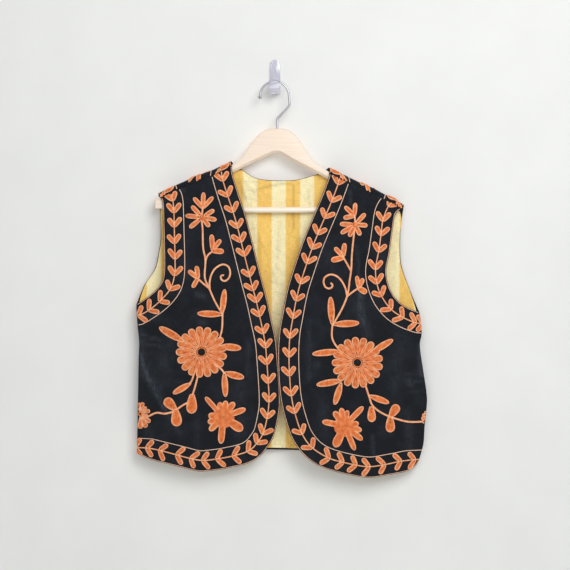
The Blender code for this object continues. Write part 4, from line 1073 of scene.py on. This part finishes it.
def top_flower(centre, petals):
    """A small flower: petals, each an angle and a length, round a wound middle."""
    rows = []
    for angle, long in petals:
        rows += filled(leaf(centre + polar(angle, TOP_FOOT), angle, long - TOP_FOOT, TOP_PETAL),
                       TOP_PETAL / 2)
    return rows + [spiral(centre, TOP_MIDDLE)]


def big_flower(centre):
    """Petals with a raised row between each two, round an open eye."""
    rows, turn = [], 360 / BIG_PETALS
    for k in range(BIG_PETALS):
        rows += filled(petal(centre, turn * (k + 0.5), turn / 2, BIG_IN, BIG_OUT), BIG_HALF,
                       (RIM, DEEP, DEEP))
        between = [centre + polar(turn * k, r) for r in np.arange(10.5, 31, 2.0)]
        rows.append((np.array(between), False, DEEP, 1.0))
    return rows + [ring(centre, BIG_EYE, RUST, 0.5)]


def spray_rows(hand):
    """All that one front's spray holds, with the flower that its side seam cuts."""
    table = SPRAY[hand]
    rows = []
    for stem in table["stems"]:
        rows += stem_rows(stem)
    rows += stem_rows(table["curl"])
    for base, angle, long, wide, pointed in LEAVES[hand]:
        rows += filled(leaf(base, angle, long, wide, pointed), wide / 2)
    rows += top_flower(table["top"], PETALS[hand]) + big_flower(table["big"])
    centre, half, petals = SIDE_FLOWER[hand]
    for angle, reach in petals:
        rows += filled(petal(centre, angle, half, SIDE_IN, reach), SIDE_HALF)
    return rows + [ring(centre, SIDE_EYE, DEEP, 0.5)]


def small_rows(hand):
    """An armed flower: its arms lie on a round body and are covered by another in the middle."""
    centre, arms = SMALL[hand]
    rows = [spiral(centre, SMALL_BODY - 1.2, DEEP, 0.2)]
    for angle, reach, wide in arms:
        rows += filled(leaf(centre + polar(angle, 5), angle, reach - 5, wide), wide / 2,
                       (RIM, DEEP, RUST), 0.4)
    return rows + [spiral(centre, SMALL_MIDDLE, DEEP, 1.5)]


# ------------------------------------------------------------------ make the cloth
def border_rows(edge, corner, hand, inward, feet, outline, first=None):
    """Vine and plain rows along one edge of a front, from the shoulder seam to the side seam."""
    path, count = stem_path(edge, hand, inward * VINE_IN)
    rows = vine_rows(path, count, inward * VINE_IN, feet, first)
    level = -1 if hand == "right" else 1
    outer = plain_rows(edge + corner, inward)[0]
    inner = plain_rows(edge, inward, level)[1]
    return kept_inside(rows, outline, 0.9) + kept_inside([outer, inner], outline, 1.0)


def dress_front(hand):
    """A front: its velvet, the stitching on it and its own lining inside."""
    way = -1 if hand == "right" else 1
    lift, outline = lift_front(hand), front_outline(hand)
    panel, area, size = hang_cloth(hand + "_front_velvet", outline, lift, VELVET, VELVET_FINISH,
                                   -1, [hand + "_front"], hand)
    edge = border_rows(FRONT_EDGE[hand], HEM_CORNER[hand], hand, way, PAIRS[hand], outline)
    arm = border_rows(ARMHOLE[hand], [], hand, -way, PAIRS[hand + " armhole"], outline,
                      FRONT_ARM_PAIR)
    stitching = [embroider(hand + name + "_stitching", rows, lift, [hand + node])
                 for name, node, rows in (
                     ("_edge", "_edge_vine", edge), ("_armhole", "_armhole_vine", arm),
                     ("_spray", "_spray", kept_inside(spray_rows(hand), outline)),
                     ("_small_flower", "_small_flower", small_rows(hand)))]
    inner = evened(inset(outline, FACING_IN), EDGE_STEP, True)
    facing, area, size = hang_cloth(hand + "_front_lining", inner, lift_facing(hand), COTTON,
                                    COTTON_FINISH, 1)


def drawn_out(path, way):
    """A back armhole's border draws outwards where it reaches the shoulder."""
    near = ease((path[:, 1] - ridge(path[:, 0]) + 30) / 40)
    return np.stack([path[:, 0] + way * ARM_BORDER_OUT * near, path[:, 1]], 1)


def back_border(outline, neck, down, up):
    """The back's vine and plain rows: from both shoulders to the middle of the neck, down both
    armholes, and along the hem."""
    middle, hem, rows = len(neck) // 2, np.array(BACK_HEM), []
    # path, side on which the border lies, way it ends level, way it is drawn out, points of the
    # stem beyond the seam, first and last pair's distance from the ends, first pair's leaves
    for path, inward, level, out, beyond, start, end, first in (
            (neck[:middle + 1], -1, 0, 0, 14, BACK_NECK_FOOT, 8, BACK_NECK_PAIR),
            (neck[middle:][::-1], 1, 0, 0, 14, BACK_NECK_FOOT, 8, BACK_NECK_PAIR),
            (down, -1, 1, 1, 6, BACK_ARM_FOOT, 8, BACK_ARM_PAIR),
            (up[::-1], 1, -1, -1, 6, BACK_ARM_FOOT, 8, BACK_ARM_PAIR),
            (hem, 1, 1, 0, 14, 6, 6, None)):
        stem = evened(offset(evened(run_on(path, 30, level), 6), inward * VINE_IN), 2)[beyond:]
        stem = drawn_out(stem, out)
        count = len(stem) - 14
        run = length_of(stem[:count]) - start - end
        pairs = round(run / BACK_PAIR_STEP)
        feet = start + run * np.arange(pairs + 1) / pairs
        rows += vine_rows(stem, count, inward * VINE_IN, feet, first)
    for path, inward, level, out in ((neck, -1, 0, 0), (down, -1, 1, 1), (up[::-1], 1, -1, -1),
                                     (hem, 1, 1, 0)):
        (outer, *_), (inner, *how) = plain_rows([tuple(p) for p in path], inward, level)
        rows += [(outer, False, THIN, 0.0), (drawn_out(inner, out), *how)]
    return kept_inside(rows, outline, 0.9)


def shoulder_sprig(x, lean, under, top):
    """A sprig on the back that grows towards the shoulder: its top leaves, each a turn and a
    length, show from the front."""
    foot = np.array((x, float(ridge(x)) - under))
    bloom = foot - polar(lean, SPRIG_BLOOM)
    rows = stem_rows([foot, bloom + polar(lean, 4)])
    rows += stem_rows([bloom - polar(lean, 4), bloom - polar(lean + 6, 40),
                       bloom - polar(lean - 4, SPRIG_LONG)])
    for turn, long in top:
        rows += filled(leaf(foot, lean + turn, long, TOP_PETAL), TOP_PETAL / 2)
    rows += top_flower(bloom, PETALS["left"])
    long, wide = SPRIG_LEAF
    for side in (-1, 1):
        rows += filled(leaf(bloom - polar(lean, SPRIG_LEAVES), lean + 55 * side, long, wide, True),
                       wide / 2)
    return rows


def dress_back():
    """The back: its velvet, the stitching on it and the lining that hangs inside."""
    outline, *edges = back_outline()
    panel, area, size = hang_cloth("back_velvet", outline, lift_back, VELVET, VELVET_FINISH,
                                   1, ["back"], "back")
    border = embroider("back_border_stitching", back_border(outline, *edges), lift_back,
                       outward=-1)
    rows = (shoulder_sprig(-138.0, 90, 6.0, ((0, 30), (50, 24), (-50, 25)))
            + shoulder_sprig(162.0, 92, 4.0, ((-22, 26), (14, 22), (58, 30))))
    sprigs = embroider("back_shoulder_sprigs", kept_inside(rows, outline), lift_back, outward=-1)
    inner, area, size = hang_cloth("back_cotton_lining", lining_outline(), lift_lining, COTTON,
                                   COTTON_FINISH, -1, ["back_lining"], "lining",
                                   cell=LINING_CELL, cloth_x=eased_in)


dress_front("right")
dress_front("left")
dress_back()


# ------------------------------------------------------------------ hanger and hooks
HANGER_TOP = [(-218.2, -233), (-216.8, -224), (-212, -219.8), (-178, -204.4), (-149, -191.0),
              (-112, -177.4), (-79.1, -161.0), (-64.8, -152), (-53.9, -137.6), (-41.6, -120.4),
              (-29.5, -105.9), (-15, -96.4), (4, -94.8), (19, -96.2), (31.1, -102.4),
              (43.3, -114.5), (55.4, -132.7), (67.3, -150.8), (79.6, -161.4), (96.3, -172),
              (134.3, -190.2), (178.6, -210.2), (212, -226.6), (222, -233), (226, -237.5)]
HANGER_LEFT_END = [(225, -242), (213.5, -243), (211, -248), (205, -251.5), (190, -251.5)]
HANGER_UNDER = [(190, -235.5), (178, -228.5), (95.4, -186), (35, -154.5), (13, -141.5),
                (3.5, -138.5), (-6, -141), (-30, -152), (-74.4, -173.9), (-176, -226.8)]
HANGER_RIGHT_END = [(-184, -235.5), (-184, -251.5), (-197, -251.5), (-201, -247.5),
                    (-203, -240.5), (-217.5, -241)]
WIRE_STEM = [(4.3, -94.4), (4.3, -79), (7.2, -73.6), (24.2, -55.2), (26.6, -50), (26.3, -43)]
WIRE_CENTRE, WIRE_BEND = (-0.5, -35.2), 26.2     # the wire's bend over the wall hook
BALL_END = [(0.5, 1.0), (0.9, 1.3), (1.6, 1.6), (2.6, 1.74), (3.6, 1.6), (4.4, 1.3), (5.0, 0.8),
            (5.2, 0.1)]   # past the bend: distance, share of the wire's radius
ARM_THICK, BAR_RADIUS, WIRE_RADIUS = 12.0, 5.3, 1.9
UNDER_CHAMFER, EDGE_ROUND = 4.0, 2.4     # of the arms' edges: those below, all others
ARMS_END, HOLLOW_DEEP = 172, 8           # arms' lower edges: within this x, and this far down
BAR_LONG, BAR_X, BAR_Z = 373.4, 3.0, -242.4
BAR_EASE, HOOK_EASE = 0.8, 1.1           # rounding of the bar's ends and of the wall hook


def eased_edges(form, edges, width, segments, **more):
    """Edges rounded over, or chamfered where there is one segment."""
    bmesh.ops.bevel(form, geom=edges, offset=width * MM, segments=segments, profile=0.5,
                    affect="EDGES", material=-1, **more)


def hanger_arms():
    """The two arms and their hump, sawn from one board: its edges are rounded over, those
    below chamfered."""
    top = evened(curve(HANGER_TOP, 2), 5)
    under = evened(curve(HANGER_UNDER, 2), 6)
    loop = np.concatenate([top, HANGER_LEFT_END, under, HANGER_RIGHT_END])
    board = bmesh.new()
    face = board.faces.new([board.verts.new((x * MM, (HANGER_Y - ARM_THICK / 2) * MM, z * MM))
                            for x, z in loop[::-1]])
    raised = bmesh.ops.extrude_face_region(board, geom=[face])["geom"]
    moved = [v for v in raised if isinstance(v, bmesh.types.BMVert)]
    bmesh.ops.translate(board, verts=moved, vec=(0, ARM_THICK * MM, 0))
    bmesh.ops.recalc_face_normals(board, faces=board.faces[:])

    def rim(below):
        """The still square edges: those under the arms, or all the others."""
        found = []
        for e in board.edges:
            x, _, z = (e.verts[0].co + e.verts[1].co) / (2 * MM)
            square = len(e.link_faces) == 2 and e.calc_face_angle(0) > math.radians(60)
            under = abs(x) < ARMS_END and at(HANGER_TOP, x) - z > HOLLOW_DEEP
            if square and under == below and any(len(f.verts) > 8 for f in e.link_faces):
                found.append(e)
        return found

    for below, width, segments in ((True, UNDER_CHAMFER, 1), (False, EDGE_ROUND, 4)):
        eased_edges(board, rim(below), width, segments)
    for f in board.faces:
        f.smooth = True
    for e in board.edges:
        e.smooth = e.calc_face_angle(0) < math.radians(30)
    beech = wood_finish("coated_beech_arms", "#f2e0cd", "#ecd6bf")
    add_object("hanger_arms", mesh_of("hanger_arms", board), [beech], ["hanger_wood"])


def trouser_bar():
    """A turned dowel between the arms' ends."""
    rod = bmesh.new()
    bmesh.ops.create_cone(rod, cap_ends=True, cap_tris=False, segments=28, radius1=BAR_RADIUS * MM,
                          radius2=BAR_RADIUS * MM, depth=BAR_LONG * MM)
    ends = [e for e in rod.edges if len(e.link_faces) == 2
            and any(len(f.verts) > 8 for f in e.link_faces)]
    eased_edges(rod, ends, BAR_EASE, 2)
    for v in rod.verts:
        v.co = Vector((v.co.z + BAR_X * MM, v.co.x + HANGER_Y * MM, v.co.y + BAR_Z * MM))
    for f in rod.faces:
        f.smooth = len(f.verts) < 8
    beech = wood_finish("coated_beech_dowel", "#fff6e6", "#fbeedb")
    add_object("trouser_bar", mesh_of("trouser_bar", rod), [beech], ["hanger_bar"])


def hook_wire():
    """Bent wire with its small ball end."""
    bend = [np.array(WIRE_CENTRE) + polar(a, WIRE_BEND) for a in range(0, 181, 5)]
    path = np.concatenate([evened(curve(WIRE_STEM, 2), 3), bend])
    tip = (path[-1] - path[-2]) / np.linalg.norm(path[-1] - path[-2])
    path = np.concatenate([path, [path[-1] + tip * d for d, _ in BALL_END]])
    wire = bpy.data.curves.new("hook_wire", "CURVE")
    wire.dimensions = "3D"
    wire.bevel_depth = WIRE_RADIUS * MM
    wire.bevel_resolution = 6
    wire.use_fill_caps = True
    line = wire.splines.new("POLY")
    line.points.add(len(path) - 1)
    for point, (x, z) in zip(line.points, path):
        point.co = (x * MM, HANGER_Y * MM, z * MM, 1)
    for point, (_, share) in zip(line.points[-len(BALL_END):], BALL_END):
        point.radius = share
    line.use_smooth = True
    add_object("hook_wire", wire, [steel_finish()], ["hanger_wire"])


def clear_hook():
    """The moulded wall hook, its edges eased."""
    body = bmesh.new()
    body.from_mesh(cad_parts["wall_hook"].data)
    bmesh.ops.remove_doubles(body, verts=body.verts[:], dist=0.00005)
    bmesh.ops.dissolve_limit(body, angle_limit=math.radians(1.0), verts=body.verts[:],
                             edges=body.edges[:])
    sharp = [e for e in body.edges if len(e.link_faces) == 2
             and e.calc_face_angle(0) > math.radians(50)]
    eased_edges(body, sharp, HOOK_EASE, 4, clamp_overlap=True)
    for f in body.faces:
        f.smooth = True
    add_object("clear_wall_hook", mesh_of("clear_wall_hook", body), [acrylic_finish()],
               ["wall_hook"])


hanger_arms()
trouser_bar()
hook_wire()
clear_hook()


# ------------------------------------------------------------------ room, light and camera, m
WALL_Y, FLOOR_Z = 0.0006, -1.75          # the wall clears the hook's flat back
ROOM_HALF, ROOM_HIGH, ROOM_NEAR, ROOM_FAR = 4, 2.5, -5, 4
CAMERA_AT = (0.0185, -2.40, -0.379)
HALF_SEEN, VEST_FAR = 0.516, 2.365       # half the width seen, at the vest's distance
DAYLIGHT = 0.29


def sheet_of_room(name, corners, material):
    """A flat part of the room, no piece of the object."""
    room = bmesh.new()
    room.faces.new([room.verts.new(c) for c in corners])
    flat = bpy.data.objects.new(name, mesh_of(name, room))
    flat.data.materials.append(material)
    flat.visible_shadow = False          # lets the lamp behind the wall light the back
    bpy.context.scene.collection.objects.link(flat)


sheet_of_room("room_wall", [(x, WALL_Y, z) for x, z in (
    (-ROOM_HALF, FLOOR_Z), (ROOM_HALF, FLOOR_Z), (ROOM_HALF, ROOM_HIGH),
    (-ROOM_HALF, ROOM_HIGH))], paint_finish("flat_wall_paint", "#e9eae8", "#edeeec", True))
sheet_of_room("room_floor", [(x, y, FLOOR_Z) for x, y in (
    (-ROOM_HALF, ROOM_NEAR), (ROOM_HALF, ROOM_NEAR), (ROOM_HALF, ROOM_FAR),
    (-ROOM_HALF, ROOM_FAR))], paint_finish("pale_floor_paint", "#e4e3df", "#e8e7e3"))


def soft_light(name, place, aim, size, power, tone):
    """A square lamp turned towards aim: its side in m, its power in W."""
    lamp = bpy.data.lights.new(name, "AREA")
    lamp.shape = "SQUARE"
    lamp.size = size
    lamp.energy = power
    lamp.color = colour(tone)[:3]
    stand = bpy.data.objects.new(name, lamp)
    stand.location = place
    stand.rotation_euler = (Vector(aim) - Vector(place)).to_track_quat("-Z", "Y").to_euler()
    bpy.context.scene.collection.objects.link(stand)


soft_light("window", (0.9, -2.15, 0.85), (0.1, 0, -0.22), 1.35, 36, "#ffffff")
soft_light("front_fill", (-0.35, -2.9, 0.0), (0, 0, -0.35), 1.8, 23, "#ffffff")
soft_light("behind", (-0.9, 2.15, 0.85), (0, 0, -0.35), 1.4, 42, "#ffffff")
world = bpy.data.worlds.new("room_light")
bpy.context.scene.world = world
world.use_nodes = True
sky = world.node_tree.nodes["Background"].inputs
sky["Color"].default_value = colour("#f4f5f6")
sky["Strength"].default_value = DAYLIGHT

bpy.context.scene.view_settings.view_transform = "Standard"

view = bpy.data.cameras.new("camera")
view.sensor_fit = "HORIZONTAL"
view.angle = 2 * math.atan(HALF_SEEN / VEST_FAR)
camera = bpy.data.objects.new("camera", view)
camera.location = CAMERA_AT
camera.rotation_euler = (math.pi / 2, 0, 0)
bpy.context.scene.collection.objects.link(camera)
bpy.context.scene.camera = camera
